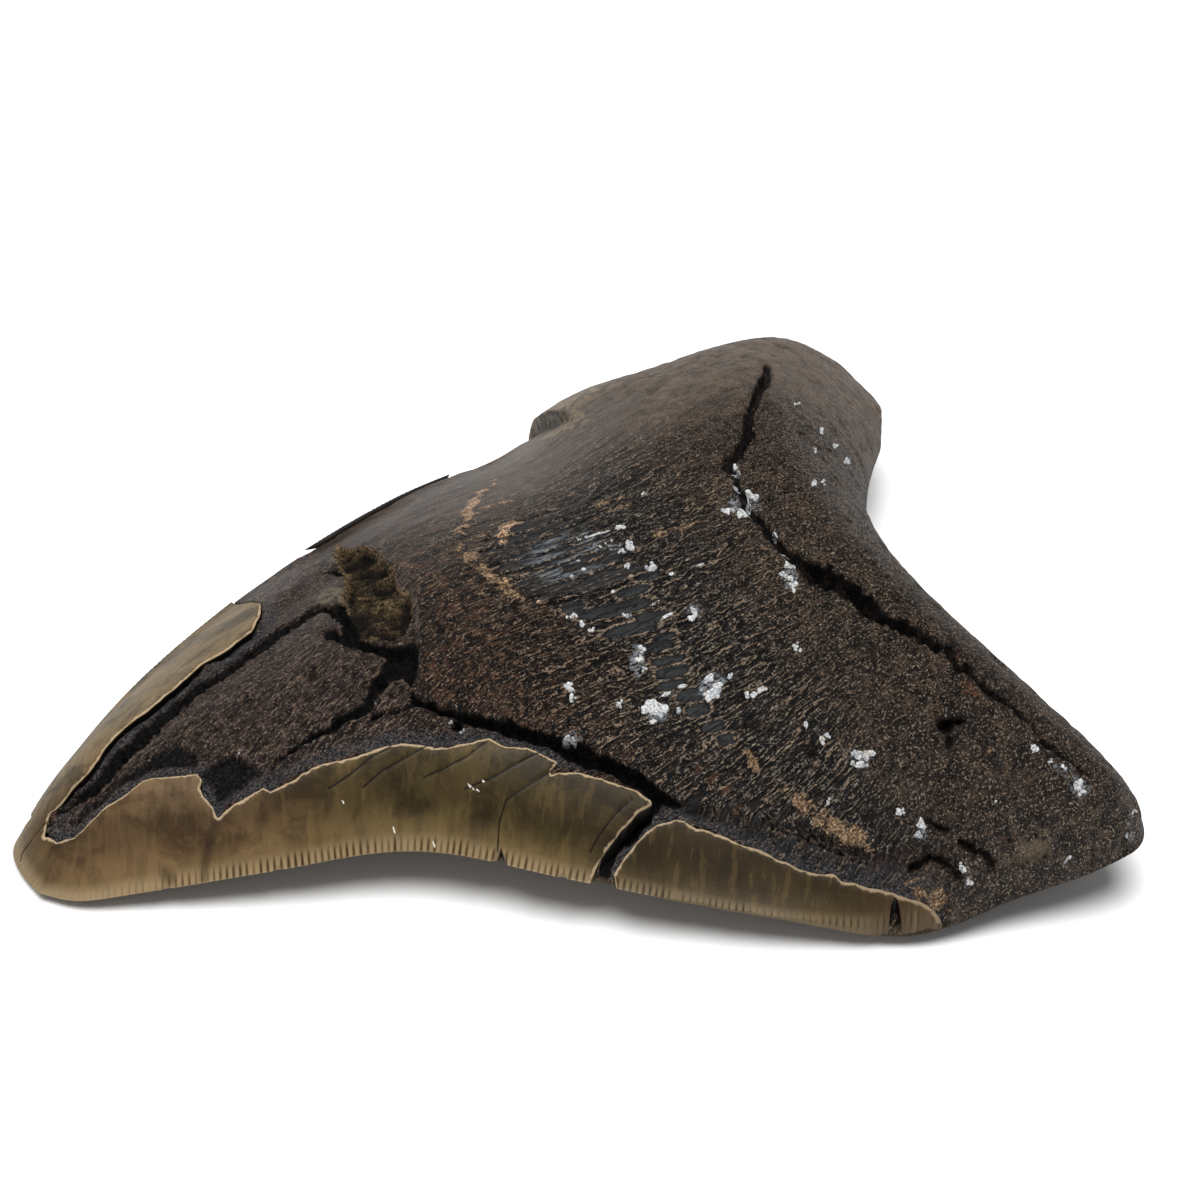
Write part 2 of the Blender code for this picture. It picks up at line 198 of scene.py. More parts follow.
PALE_STAINS = [  # in pixels: centre, half-length, half-width and turn
    (330, 590, 14, 11, 0), (1036, 848, 20, 8, 20), (1075, 700, 10, 3, -40), (900, 560, 4, 10, 30),
    (560, 425, 30, 8, 20)]

# The smooth slate skin at the crown's base: outlines, the cracks across it, and separate scales
SLATE_SKIN = [(489, 537), (505, 524), (530, 521), (560, 514), (588, 519), (602, 533), (622, 546), (640, 566),
              (634, 580), (612, 588), (592, 597), (562, 604), (540, 606), (514, 592), (497, 575), (484, 558)]
NECK_SKIN = [(668, 812), (690, 814), (712, 822), (740, 831), (770, 845), (800, 858), (830, 866), (860, 878),
             (892, 884), (888, 872), (866, 862), (838, 850), (812, 836), (788, 820), (762, 814), (735, 808),
             (705, 804), (680, 802)]
SKIN_CRACKS = [
    [(481, 552), (502, 549), (522, 548), (538, 542), (555, 533), (571, 528), (584, 522)],
    [(489, 567), (508, 563), (528, 559), (543, 555), (559, 547), (571, 544), (586, 536), (604, 531)],
    [(504, 575), (530, 569), (551, 562), (566, 556), (590, 547)],
    [(518, 581), (534, 576), (551, 571), (563, 565), (573, 561), (592, 555), (604, 552), (622, 546)],
    [(526, 597), (536, 592), (549, 588), (563, 584), (584, 579), (596, 574), (614, 565), (634, 560)],
    [(540, 605), (555, 604), (571, 600), (592, 592), (614, 588), (637, 577)],
    [(486, 540), (506, 537), (530, 534), (552, 526), (570, 520)]]
NECK_CRACKS = [
    [(765, 815), (772, 826), (770, 842)], [(790, 822), (800, 835), (798, 855)],
    [(812, 836), (822, 848), (818, 864)], [(835, 850), (846, 860), (842, 872)],
    [(772, 830), (800, 838), (825, 850), (850, 862), (875, 870)],
    [(738, 810), (745, 822), (742, 832)], [(712, 806), (716, 815), (712, 822)]]
SKIN_CRACK_HALF, SKIN_CRACK_DEPTH = 0.22, 0.45  # in mm
NECK_CRACKS_FINER = 0.75  # share of that half-width by which the neck's cracks are finer
SCALES = [  # in pixels: centre, half-length and half-width; all rise to the right by SCALE_TURN
    (573, 608, 13, 6), (614, 610, 38, 7), (633, 592, 18, 5), (652, 617, 17, 5), (630, 630, 29, 7),
    (664, 637, 12, 4), (657, 647, 17, 5), (668, 661, 17, 5), (672, 673, 17, 6.5), (670, 686, 17, 5),
    (690, 696, 15, 7), (698, 711, 13, 7), (712, 728, 13, 6), (727, 741, 10, 6), (646, 577, 14, 4)]
SCALE_TURN = 13    # degrees
SCALE_POWER = 2.6  # 2 would make them ellipses; more makes them squarer
# A painted sheen: a pale blue-grey highlight painted into the slate skin's colour
SHEEN = (568, 556, 42, 24, 14)  # in pixels: centre, half-length, half-width and turn

# White mineral, in pixels: centre, half-length, half-width and turn
CRUSTS = [
    (581, 541, 10, 2.5, 20), (604, 547, 12, 2, 25), (596, 536, 9, 1, 22), (629, 546, 5, 5, 0),
    (623, 553, 6, 3, 0), (578, 563, 3, 1.5, 0), (584, 571, 3, 2, 0), (572, 578, 3, 2, 0),
    (629, 568, 6, 3, 10), (650, 568, 8, 4.5, 10), (613, 593, 3, 2, 0), (571, 617, 8, 3, 12),
    (629, 616, 10, 3, 14), (667, 616, 5, 2, 20), (655, 604, 6, 2, 25), (581, 625, 3, 3, 0),
    (592, 631, 4, 3, 0), (645, 495, 5, 2.5, 20), (621, 528, 4, 2.5, 15), (692, 612, 6, 4, -50),
    (694, 618, 5, 4, 0), (641, 650, 4, 5, 0), (639, 661, 4, 6, 0), (644, 671, 3, 4, 0), (569, 689, 5, 5, 0),
    (572, 699, 4, 5, 0), (620, 706, 4, 5, 0), (650, 708, 9, 7, 0), (660, 712, 7, 7, 0), (655, 722, 4, 5, 0),
    (680, 711, 4, 3, 0), (709, 682, 5, 9, 0), (716, 690, 7, 6, 0), (712, 697, 10, 5, 10),
    (729, 676, 4, 4, 0), (752, 695, 9, 4, 8), (763, 692, 5, 4, 0), (571, 741, 8, 4.5, -10),
    (682, 688, 5, 2, 20), (664, 696, 5, 2, 20), (796, 647, 4, 6, 0), (800, 652, 2, 3, 0),
    (806, 726, 6, 3, 0), (821, 744, 4, 6, 0), (829, 738, 6, 3, 20), (856, 757, 5, 5, 0),
    (867, 756, 5, 6, 0), (862, 766, 6, 4, 0), (852, 765, 4, 3, 0), (828, 802, 6, 3, 10),
    (899, 813, 6, 4, -20), (921, 827, 5, 6, 0), (917, 836, 5, 4, 0), (963, 871, 3, 8, 15),
    (969, 885, 4, 5, -30), (735, 471, 4, 7, 0), (736, 488, 3, 6, 0), (752, 496, 5, 6, 0),
    (749, 505, 4, 6, 0), (741, 512, 6, 5, 0), (728, 512, 7, 4, -10), (773, 535, 3, 3, 0),
    (782, 554, 4, 2.5, -30), (789, 563, 5, 6, 0), (787, 577, 8, 4, -15), (793, 587, 5, 6, 0),
    (799, 405, 5, 3, 0), (822, 432, 4, 3, 0), (816, 449, 3, 4, 0), (838, 447, 5, 3, 0), (849, 463, 3, 3, 0),
    (816, 484, 3, 3, 0), (824, 483, 3, 5, 0), (1035, 749, 4, 6, -40), (1051, 763, 5, 3, -30),
    (1065, 770, 6, 3, -20), (1078, 786, 5, 6, 0), (1083, 795, 4, 4, 0), (237, 752, 1.4, 1.4, 0),
    (1068, 862, 4, 4, 0), (449, 722, 4, 3, 0), (460, 730, 4, 3, 0), (302, 742, 5, 1.4, 30),
    (312, 736, 4, 1.2, 25), (336, 612, 1.2, 4, 0), (996, 804, 2, 2, 0), (1134, 812, 3, 5, 0),
    (1128, 838, 3, 4, 0), (671, 575, 3, 2, 20), (700, 566, 4, 1.4, 15)]
FROST = [  # around the crusts: centre, half-length and half-width
    (692, 613, 10, 9), (638, 660, 10, 18), (712, 686, 12, 14), (655, 712, 13, 12), (862, 760, 12, 11),
    (604, 548, 12, 4), (919, 831, 8, 10), (1078, 788, 12, 12), (1060, 768, 16, 7), (966, 878, 5, 13),
    (790, 575, 9, 16), (745, 505, 16, 12), (1130, 816, 6, 10), (1132, 837, 6, 10), (572, 742, 9, 6)]

# Cracks and scratches of the enamel, and lines of painted shade along faint cracks, in pixels
ENAMEL_CRACKS = [
    [(486, 741), (467, 756), (445, 768), (424, 777)], [(539, 752), (520, 762), (496, 776), (465, 789)],
    [(555, 768), (537, 780), (516, 793), (506, 800), (499, 825), (497, 852)],
    [(428, 745), (412, 754), (383, 770), (363, 787)], [(391, 746), (373, 756), (350, 774), (328, 789)],
    [(45, 822), (32, 840), (22, 854), (19, 866)],
    [(631, 800), (614, 815), (598, 838), (590, 852)], [(896, 918), (895, 930), (893, 938)]]
SCRATCHES = [[(467, 784), (474, 789), (479, 791)], [(393, 827), (395, 833)], [(433, 842), (435, 847)],
             [(342, 799), (344, 803)], [(480, 779), (484, 782)]]
CRACK_SHADE_LINES = [[(217, 820), (209, 842), (206, 857), (203, 877)], [(165, 875), (171, 878)]]
CHIPS = [  # their x on the near edge, half-width and depth, in mm
    (52, 0.8, 0.9), (28.5, 0.7, 0.35), (16, 0.6, 0.3), (58, 0.5, 0.4), (91.4, 0.7, 1.6)]

# Sizes of the plates' edges, in mm
WORN_EDGE = 0.55      # how far the root end's lower edge is worn in
EDGE_END_FADE = 3     # length over which serrations fade out at a plate's ends
SERRATION_PITCH = 0.77
SERRATION_DEPTH = 0.34
RIB_LENGTH, RIB_HEIGHT = 1.5, 0.13  # of the ribs that run in from the serrations
CORE_INSET = 0.8      # how far the dentine ends inside the cutting edges
LABIAL_LIP = 0.03     # how far the plates stand proud of the labial face
ENAMEL_SEAT = 2.0     # how far the plates reach down into the body
ENAMEL_SHARP = np.radians(48)

# Depths of what is broken out of the dentine, in mm, before noise
HOLLOW_DEPTH, GAP_DEPTH, GRANULAR_DEPTH = 1.5, 2.6, 0.5
FLAKED_DEPTH = 0.45
STEP_FALL = 1.3       # the fall of the face before the step at the far shoulder
DEEPEST_SHARE = 0.55  # the most that a break takes of the tooth's thickness
THINNEST = 0.04       # what it leaves at least, in mm

# Spacing of the meshes' points, in mm
COARSE, FINE = 0.5, 0.22
UNDER_PITCH = 1.3
RIM_RINGS = (0.04, 0.14, 0.3, 0.52, 0.8)  # rows of points inside the body's rim
PLATE_PITCH, PLATE_UNDER_PITCH = 0.28, 0.8
PLATE_CLOSE_RINGS = (0.06, 0.15)          # rows of points along the serrations, and further in
PLATE_RINGS, PLATE_RINGS_END = (0.5, 0.66, 0.84, 1.04, 1.27, 1.53, 1.83, 2.17), 2.3

OUTWARD, OUTWARD_FROM = 0.16, (2.0, 6.0)  # most relief above the face, where the tooth is that thick
GRAIN_TURN, SLAB_TURN = 0.08, 0.38        # slope of the growth lines on the dome and on the slab
FAN, FAN_FROM = 0.012, (62, -20)          # how and where they fan out
LINE_PITCH = 1.25
GRAIN_UV = 10         # units of the grain's UV layer to a metre
MASK_REACH = 3.0      # the materials' distances are cut off at so many mm
FAR_AWAY = 9.0        # distance in mm that stands for no mark near
SEED = 7

# ------------------------------------------------------------------ light and floor

SUN = (-165, 88, 3.8, 52)  # azimuth, elevation, strength and width in degrees
WORLD_STRENGTH = 0.22
FLOOR_GLOW = 0.02
FLOOR_COLOUR = (250, 250, 250)
FLOOR_SIZE = 6.0  # metres


def cubic(knots, values, at):
    """Smooth curve through values at uneven knots."""
    slope = np.gradient(values, knots)
    i = np.clip(np.searchsorted(knots, at, side="right") - 1, 0, len(knots) - 2)
    h = knots[i + 1] - knots[i]
    u = (at - knots[i]) / h
    start = (2 * u**3 - 3 * u**2 + 1) * values[i] + (u**3 - 2 * u**2 + u) * h * slope[i]
    return start + (-2 * u**3 + 3 * u**2) * values[i + 1] + (u**3 - u**2) * h * slope[i + 1]


def smooth(low, high, x):
    """0 at low, 1 at high, and smooth between; low may be the greater."""
    t = np.clip((x - low) / (high - low), 0, 1)
    return t * t * (3 - 2 * t)


def faces_of_tooth(station, across):
    """Plan x and y and the heights of the upper and lower faces of the unbroken tooth, in mm."""
    near_x, near_y, near_z, mid_x, mid_z, rise, far_x, far_y, far_z = (
        cubic(SECTIONS[:, 0], column, station) for column in SECTIONS[:, 1:].T)
    end = np.clip((station - LOBE_STATION) / (1 - LOBE_STATION), 0, 1)
    drawn_in = across * (1 - LOBE_CORNER * (1 - np.sqrt(1 - end**2)))
    t, bend = (drawn_in + 1) / 2, 1 - drawn_in**2

    def through(near, middle, far):
        return near * (1 - t) + far * t + (middle - (near + far) / 2) * bend

    x, y, plane = through(near_x, mid_x, far_x), through(near_y, 0, far_y), through(near_z, mid_z, far_z)
    root = smooth(CROWN_END, ROOT_START, station)
    flare = 1 - EDGE_FLARE * np.exp(-((1 - np.abs(across)) / FLARE_WIDTH) ** 2)
    crown_section = (1 - across**2) * flare
    root_section = np.sqrt(np.clip(1 - np.abs(across) ** ROOT_FULLNESS, 0, 1))
    base = np.clip((station - 1 + BASE_ROUNDING) / BASE_ROUNDING, 0, 1)
    tip = np.clip(1 - station / TIP_ROUNDING, 0, 1)
    close = np.sqrt(np.clip(1 - base**2.2, 0, 1)) * np.sqrt(1 - tip**2)
    upper = plane + rise * (crown_section * (1 - root) + root_section * root) * close
    belly = CROWN_BELLY + (ROOT_BELLY - CROWN_BELLY) * root
    lower = plane - belly * np.sqrt(np.clip(1 - across**2, 0, 1)) * close
    return x, y, upper, np.maximum(lower, 0)


KNOWN_COLUMNS, KNOWN_ROWS = 421, 281
KNOWN_S, KNOWN_V = (a.ravel() for a in np.meshgrid(np.linspace(0, 1, KNOWN_COLUMNS),
                                                   np.linspace(-1, 1, KNOWN_ROWS)))
KNOWN_X, KNOWN_Y, KNOWN_UPPER = faces_of_tooth(KNOWN_S, KNOWN_V)[:3]
MIDDLE = (KNOWN_X.min() + KNOWN_X.max()) / 2, (KNOWN_Y.min() + KNOWN_Y.max()) / 2
CELL = 0.8  # mm to a plan cell


def known_cells():
    """For each plan cell, the index of a known point in it or in the nearest filled cell."""
    wide = int((KNOWN_X.max() - KNOWN_X.min()) / CELL) + 3
    high = int((KNOWN_Y.max() - KNOWN_Y.min()) / CELL) + 3
    cells = np.full((wide, high), -1)
    column, row = cell_of(KNOWN_X, KNOWN_Y, wide, high)
    cells[column, row] = np.arange(len(KNOWN_X))
    while (cells < 0).any():
        for axis in (0, 1):
            for step in (1, -1):
                shifted = np.roll(cells, step, axis)
                cells = np.where(cells < 0, shifted, cells)
    return cells


def cell_of(x, y, wide, high):
    """Column and row of the plan cell that holds each point."""
    column = np.clip(((x - KNOWN_X.min()) / CELL).astype(int) + 1, 0, wide - 1)
    row = np.clip(((y - KNOWN_Y.min()) / CELL).astype(int) + 1, 0, high - 1)
    return column, row


CELLS = known_cells()


def sections_at(x, y):
    """Stations and across values of plan points, by Newton's method from a known point nearby."""
    start = CELLS[cell_of(x, y, *CELLS.shape)]
    s, v = KNOWN_S[start], KNOWN_V[start]
    step = 1e-4
    for _ in range(9):
        low_s, low_v = np.clip(s - step, 0, 1), np.clip(v - step, -1, 1)
        high_s, high_v = np.clip(s + step, 0, 1), np.clip(v + step, -1, 1)
        px, py = faces_of_tooth(s, v)[:2]
        (ax, ay), (bx, by) = faces_of_tooth(low_s, v)[:2], faces_of_tooth(high_s, v)[:2]
        (cx, cy), (dx, dy) = faces_of_tooth(s, low_v)[:2], faces_of_tooth(s, high_v)[:2]
        xs, ys = (bx - ax) / (high_s - low_s), (by - ay) / (high_s - low_s)
        xv, yv = (dx - cx) / (high_v - low_v), (dy - cy) / (high_v - low_v)
        det = xs * yv - xv * ys
        det = np.where(np.abs(det) < 50, 50 * np.where(det < 0, -1, 1), det)
        s = np.clip(s + np.clip(((x - px) * yv - (y - py) * xv) / det, -0.03, 0.03), 0, 1)
        v = np.clip(v + np.clip(((y - py) * xs - (x - px) * ys) / det, -0.08, 0.08), -1, 1)
    return s, v


def base_surface(x, y):
    """The unbroken tooth over plan points: upper and lower heights and both faces' outward normals."""
    s, v = sections_at(x, y)
    _, _, upper, lower = faces_of_tooth(s, v)
    step = 2e-3
    low_s, high_s = np.clip(s - step, 0, 1), np.clip(s + step, 0, 1)
    low_v, high_v = np.clip(v - step, -1, 1), np.clip(v + step, -1, 1)
    a, b = faces_of_tooth(low_s, v), faces_of_tooth(high_s, v)
    c, d = faces_of_tooth(s, low_v), faces_of_tooth(s, high_v)
    normals = []
    for height, sign in ((2, 1), (3, -1)):
        along = np.column_stack([b[0] - a[0], b[1] - a[1], b[height] - a[height]])
        across = np.column_stack([d[0] - c[0], d[1] - c[1], d[height] - c[height]])
        normal = np.cross(along, across)
        normal /= np.linalg.norm(normal, axis=1)[:, None] + 1e-12
        normals.append(normal * np.where(normal[:, 2:] * sign < 0, -1, 1))
    return s, v, upper, lower, normals[0], normals[1]


# ------------------------------------------------------------------ from pixels to places on the tooth

def camera_axes():
    """Unit vectors from the target towards the camera, to its right and up."""
    a, e = np.radians(CAMERA_AZIMUTH), np.radians(CAMERA_ELEVATION)
    back = np.array([np.sin(a) * np.cos(e), -np.cos(a) * np.cos(e), np.sin(e)])
    right = np.array([np.cos(a), np.sin(a), 0.0])
    return back, right, np.cross(back, right)


def in_photo(points):
    """The pixels at which the camera sees points in mm from the tip."""
    back, right, up = camera_axes()
    away = points - (np.array(CAMERA_TARGET) + back * CAMERA_DISTANCE)
    focal = CAMERA_LENS / CAMERA_SENSOR * PHOTO_SIZE
    aside = focal * np.stack([away @ -right, away @ up], axis=-1)
    return PHOTO_SIZE / 2 - aside / -(away @ back)[..., None]


def facing_points(below):
    """Plan places of known points that face the camera, and the pixels of the places so far below them."""
    shape = (KNOWN_ROWS, KNOWN_COLUMNS)
    points = np.stack([KNOWN_X, KNOWN_Y, KNOWN_UPPER - below], axis=-1).reshape(*shape, 3)
    seen = in_photo(points)
    along, across = np.gradient(seen, axis=1), np.gradient(seen, axis=0)
    facing = along[..., 0] * across[..., 1] - along[..., 1] * across[..., 0] < 0
    return points[facing][:, :2], seen[facing]


WORN, BROKEN_OFF = 0.3, 1.3  # mm that the worn face and the bare dentine lie below the unbroken tooth
FACING = {below: facing_points(below) for below in (0.0, WORN, BROKEN_OFF)}


def on_tooth(pixels, below=WORN):
    """Plan places, in mm, of the points seen at pixels on a face so far below the unbroken one. Further
    values of a row are lengths in pixels, and come back in mm."""
    rows = np.array(pixels, float)
    places, seen = FACING[below]
    found = []
    for row in rows:
        away = np.hypot(*(seen - row[:2]).T)
        nearest = np.argpartition(away, 4)[:4]
        weight = 1 / (away[nearest] + 1e-3)
        found.append((places[nearest] * weight[:, None]).sum(axis=0) / weight.sum())
    return np.column_stack([found, rows[:, 2:] / PIXELS_PER_MM])


def patches(rows, turn=0.0):
    """For patches in pixels, rows of x, y, half-length, half-width and perhaps turn: the plan centres, and
    the matrices that take a plan step from a centre to shares of the half-length and half-width."""
    rows = np.array(rows, float)
    turns = np.radians(rows[:, 4] if rows.shape[1] > 4 else np.full(len(rows), turn))
    long_way = np.column_stack([np.cos(turns), -np.sin(turns)])
    short_way = np.column_stack([np.sin(turns), np.cos(turns)])
    probe = 6.0
    centres = on_tooth(rows[:, :2])
    steps = [(on_tooth(rows[:, :2] + way * probe) - on_tooth(rows[:, :2] - way * probe)) / (2 * probe)
             for way in (long_way, short_way)]
    shapes = np.stack([steps[0] * rows[:, 2:3], steps[1] * rows[:, 3:4]], axis=2)
    return centres, shapes


def inside_patches(found, x, y, power=2.0):
    """Signed distance, in mm, into the nearest of the patches: positive inside."""
    best = np.full(len(x), -MASK_REACH)
    for centre, shape in zip(*found):
        u, w = np.linalg.inv(shape) @ np.vstack([x - centre[0], y - centre[1]])
        radius = (np.abs(u) ** power + np.abs(w) ** power) ** (1 / power)
        best = np.maximum(best, (1 - radius) * np.hypot(*shape[:, 1]))
    return best


# ------------------------------------------------------------------ noise, distances and outlines

def lattice_noise(x, y, seed):
    """Smooth random values between -1 and 1 that change over about one unit."""
    table = np.random.default_rng(seed).random(4096) * 2 - 1
    column, row = np.floor(x).astype(int), np.floor(y).astype(int)
    fx, fy = x - column, y - row
    fx, fy = fx * fx * (3 - 2 * fx), fy * fy * (3 - 2 * fy)

    def value(i, j):
        return table[(i * 73 + j * 1009 + (i * j) % 37 * 17) % 4096]

    low = value(column, row) * (1 - fx) + value(column + 1, row) * fx
    high = value(column, row + 1) * (1 - fx) + value(column + 1, row + 1) * fx
    return low * (1 - fy) + high * fy


def layered_noise(x, y, seed, layers=3):
    """Lattice noise with finer and fainter layers of itself added."""
    total = sum(0.5**k * lattice_noise(x * 2**k + 13.7 * k, y * 2**k - 7.1 * k, seed + k)
                for k in range(layers))
    return total / (2 - 0.5 ** (layers - 1))


def distance_to(line, x, y, closed=False):
    """Distance from plan points to a line, and the length along the line of the nearest place."""
    line = np.array(line, float)[:, :2]
    if closed:
        line = np.vstack([line, line[:1]])
    best, place, start = np.full(len(x), 1e9), np.zeros(len(x)), 0.0
    for a, b in zip(line[:-1], line[1:]):
        d = b - a
        length = np.hypot(*d)
        t = np.clip(((x - a[0]) * d[0] + (y - a[1]) * d[1]) / (length**2 + 1e-12), 0, 1)
        away = np.hypot(x - a[0] - t * d[0], y - a[1] - t * d[1])
        place = np.where(away < best, start + t * length, place)
        best = np.minimum(best, away)
        start += length
    return best, place


def is_inside(outline, x, y):
    """True at plan points within a closed outline."""
    inside = np.zeros(len(x), bool)
    for (ax, ay), (bx, by) in zip(outline, np.roll(outline, -1, axis=0)):
        if ay != by:
            inside ^= ((ay > y) != (by > y)) & (x < (bx - ax) * (y - ay) / (by - ay) + ax)
    return inside


def depth_inside(outline, x, y):
    """Signed distance into a plan outline: positive inside."""
    return np.where(is_inside(outline, x, y), 1, -1) * distance_to(outline, x, y, closed=True)[0]


def inside_any(outlines, x, y):
    """Signed distance into the nearest of several plan outlines."""
    return np.max([depth_inside(outline, x, y) for outline in outlines], axis=0)


def within(rim, points, margin):
    """The points that lie more than a margin inside a rim."""
    return points[depth_inside(rim, *points.T) > margin]


def lengths_along(line):
    """Length along a line at each of its points."""
    return np.concatenate([[0], np.cumsum(np.hypot(*np.diff(np.array(line)[:, :2], axis=0).T))])


def walked(line, step):
    """Points of a plan line about a step apart."""
    line = np.array(line, float)
    length = lengths_along(line)
    at = np.linspace(0, length[-1], max(2, int(round(length[-1] / step)) + 1))
    return np.column_stack([np.interp(at, length, column) for column in line.T])


def sideways(line):
    """Unit plan directions to the left of an open line."""
    run = np.gradient(line, axis=0)
    return np.column_stack([-run[:, 1], run[:, 0]]) / np.hypot(*run.T)[:, None]


def roughened(line, step, size, seed):
    """A walked line whose inner points wander sideways, as the edge of a break does."""
    points = walked(line, step)
    at = np.arange(len(points)) * step
    wander = layered_noise(at / 1.3, at * 0 + seed, seed, 4) * size
    wander *= np.clip(np.minimum(at, at[-1] - at) / 1.5, 0, 1)
    return points + sideways(points) * wander[:, None]


def hex_points(pitch, low, high):
    """A hexagonal lattice over a plan box."""
    rows = np.arange(int((high[1] - low[1]) / (pitch * 0.866)) + 2)
    columns = np.arange(int((high[0] - low[0]) / pitch) + 2)
    i, j = (a.ravel() for a in np.meshgrid(columns, rows))
    return np.column_stack([low[0] + (i + (j % 2) / 2) * pitch, low[1] + j * pitch * 0.866])


def placed(points):
    """Points in mm from the tip as positions in metres in the frame."""
    return (np.asarray(points) - [MIDDLE[0], MIDDLE[1], 0]) * MM


# ------------------------------------------------------------------ outline of the tooth

def outline_of_tooth(step):
    """Stations and across values of outline points a step apart, anticlockwise from the tip's near end."""
    count = 1500
    run, over = np.linspace(0, 1, count), np.linspace(-1, 1, count)
    s = np.concatenate([run, np.ones(count - 1), run[::-1][1:], np.zeros(count - 2)])
    v = np.concatenate([-np.ones(count), over[1:], np.ones(count - 1), over[::-1][1:-1]])
    x, y = faces_of_tooth(s, v)[:2]
    length = np.concatenate([[0], np.cumsum(np.hypot(np.diff(x), np.diff(y)))])
    at = np.arange(0, length[-1] - step / 2, step)
    return np.interp(at, length, s), np.interp(at, length, v)


def inward(points):
    """Unit plan normals that point into a closed anticlockwise outline."""
    run = np.roll(points, -2, axis=0) - np.roll(points, 2, axis=0)
    run /= np.hypot(*run.T)[:, None]
    return np.column_stack([-run[:, 1], run[:, 0]])


# ------------------------------------------------------------------ closed solids between two faces

def triangulated(rim, seeds):
    """Plan points (the rim first) and the triangles inside the rim."""
    points = np.vstack([rim, seeds])
    edges = [(i, (i + 1) % len(rim)) for i in range(len(rim))]
    found = delaunay_2d_cdt([Vector(p) for p in points.tolist()], edges, [], 1, 1e-7, True)
    made, triangles = np.array([p[:] for p in found[0]]), np.array(found[2])
    return made, triangles[is_inside(rim, *made[triangles].mean(axis=1).T)]


def solid_mesh(name, rim, upper_seeds, lower_seeds, upper_face, lower_face):
    """A closed mesh between two faces over one plan rim. Each face is a function from plan points to
    positions in mm and named values for the material."""
    top, top_faces = triangulated(rim, upper_seeds)
    bottom, bottom_faces = triangulated(rim, lower_seeds)
    top_places, top_values = upper_face(top)
    bottom_places, bottom_values = lower_face(bottom)
    count, shift = len(rim), len(top)
    i = np.arange(count)
    j = (i + 1) % count
    wall = np.vstack([np.column_stack([i + shift, j + shift, j]), np.column_stack([i + shift, j, i])])
    triangles = np.vstack([top_faces, bottom_faces[:, ::-1] + shift, wall])
    places = np.vstack([top_places, bottom_places])
    values = {key: np.concatenate([top_values[key], bottom_values[key]]) for key in top_values}
    return mesh_piece(name, places, triangles, values)


def mesh_piece(name, places, triangles, values):
    """A mesh object from positions in mm, with point attributes and a plan UV layer for grain."""
    mesh = bpy.data.meshes.new(name)
    mesh.from_pydata(placed(places).tolist(), [], triangles.tolist())
    for key, numbers in values.items():
        layer = mesh.attributes.new(key, "FLOAT", "POINT")
        layer.data.foreach_set("value", np.asarray(numbers, np.float32))
    along, across = grain(places[:, 0], places[:, 1])
    corners = triangles.ravel()
    uv = np.column_stack([along, across])[corners] * MM * GRAIN_UV
    mesh.uv_layers.new(name="grain").data.foreach_set("uv", uv.astype(np.float32).ravel())
    mesh.shade_smooth()
    made = bpy.data.objects.new(name, mesh)
    bpy.context.scene.collection.objects.link(made)
    return made


def grain(x, y):
    """Plan coordinates along and across the dentine's growth lines, which fan out near the shoulder."""
    fan = FAN * np.maximum(x - FAN_FROM[0], 0) * np.maximum(FAN_FROM[1] - y, 0)
    turn = GRAIN_TURN + (SLAB_TURN - GRAIN_TURN) * smooth(FAN_FROM[0], FAN_FROM[0] - 12, x)
    return x + turn * y, y - turn * (x - FAN_FROM[0]) - fan


# ------------------------------------------------------------------ the enamel plates' outlines

RIM = np.column_stack(faces_of_tooth(*outline_of_tooth(0.13))[:2])


def plate_outline(ledge, wander, seed):
    """A plate's part of the tooth's edge, anticlockwise, and its broken ledge back to the start."""
    last, first = (np.argmin(np.hypot(*(RIM - place).T)) for place in (ledge[0], ledge[-1]))
    count = (last - first) % len(RIM)
    outer = RIM[(first + np.arange(count + 1)) % len(RIM)]
    return outer, roughened(np.vstack([outer[-1], ledge[1:-1], outer[0]]), 0.22, wander, seed)


PLATES = {"tip": plate_outline(np.vstack([on_tooth(TIP_LEDGE, 0.0), TIP_LEDGE_END]), 0.2, 31),
          "root_end": plate_outline(on_tooth(ROOT_LEDGE, 0.0), 0.15, 37),
          "far": plate_outline(np.array(FAR_LEDGE), 0.3, 41)}
PLATE_OUTLINES = [np.vstack([outer[::6], outer[-1:], ledge[::2]]) for outer, ledge in PLATES.values()]


# ------------------------------------------------------------------ the body of dentine and root

SANDY_PLACES = on_tooth(SANDY, BROKEN_OFF)
GAP_PLACES = on_tooth(GAP, BROKEN_OFF)
GRANULAR_PLACES = [on_tooth(area, BROKEN_OFF) for area in GRANULAR]
SHARD_PLACES = [on_tooth(shard, BROKEN_OFF) for shard in SHARDS]
CRACK_PLACES = [on_tooth(crack, BROKEN_OFF if name in CRACKS_IN_BARE else WORN)
                for name, crack in CRACKS.items()]
PIT_PATCHES = patches([pit[:4] for pit in PITS])
RING_PLACES = on_tooth(RING)
TAN_PLACES = [on_tooth(line) for line in TAN_LINES]
RUST_PATCHES = patches(RUST)
STAIN_PATCHES = patches(PALE_STAINS)
SKIN_PLACES = [on_tooth(area) for area in (SLATE_SKIN, NECK_SKIN)]
SKIN_CRACK_PLACES = [on_tooth(crack) for crack in SKIN_CRACKS]
NECK_CRACK_PLACES = [on_tooth(crack) for crack in NECK_CRACKS]
SCALE_PATCHES = patches(SCALES, SCALE_TURN)
SHEEN_PATCH = patches([SHEEN])
FROST_PATCHES = patches(FROST)
STRIP_END = 39, 26                      # plan place in mm where the far strip's end is flush with the body
LOBE_TIP, LOBE_WORN = (132, 32.5), 1.5  # the far lobe's corner, and how far it is worn in, in mm
FAR_STEP, FLARE_RISE = 85.9, 0.9        # plan x of the step at the far shoulder, and its rise, in mm


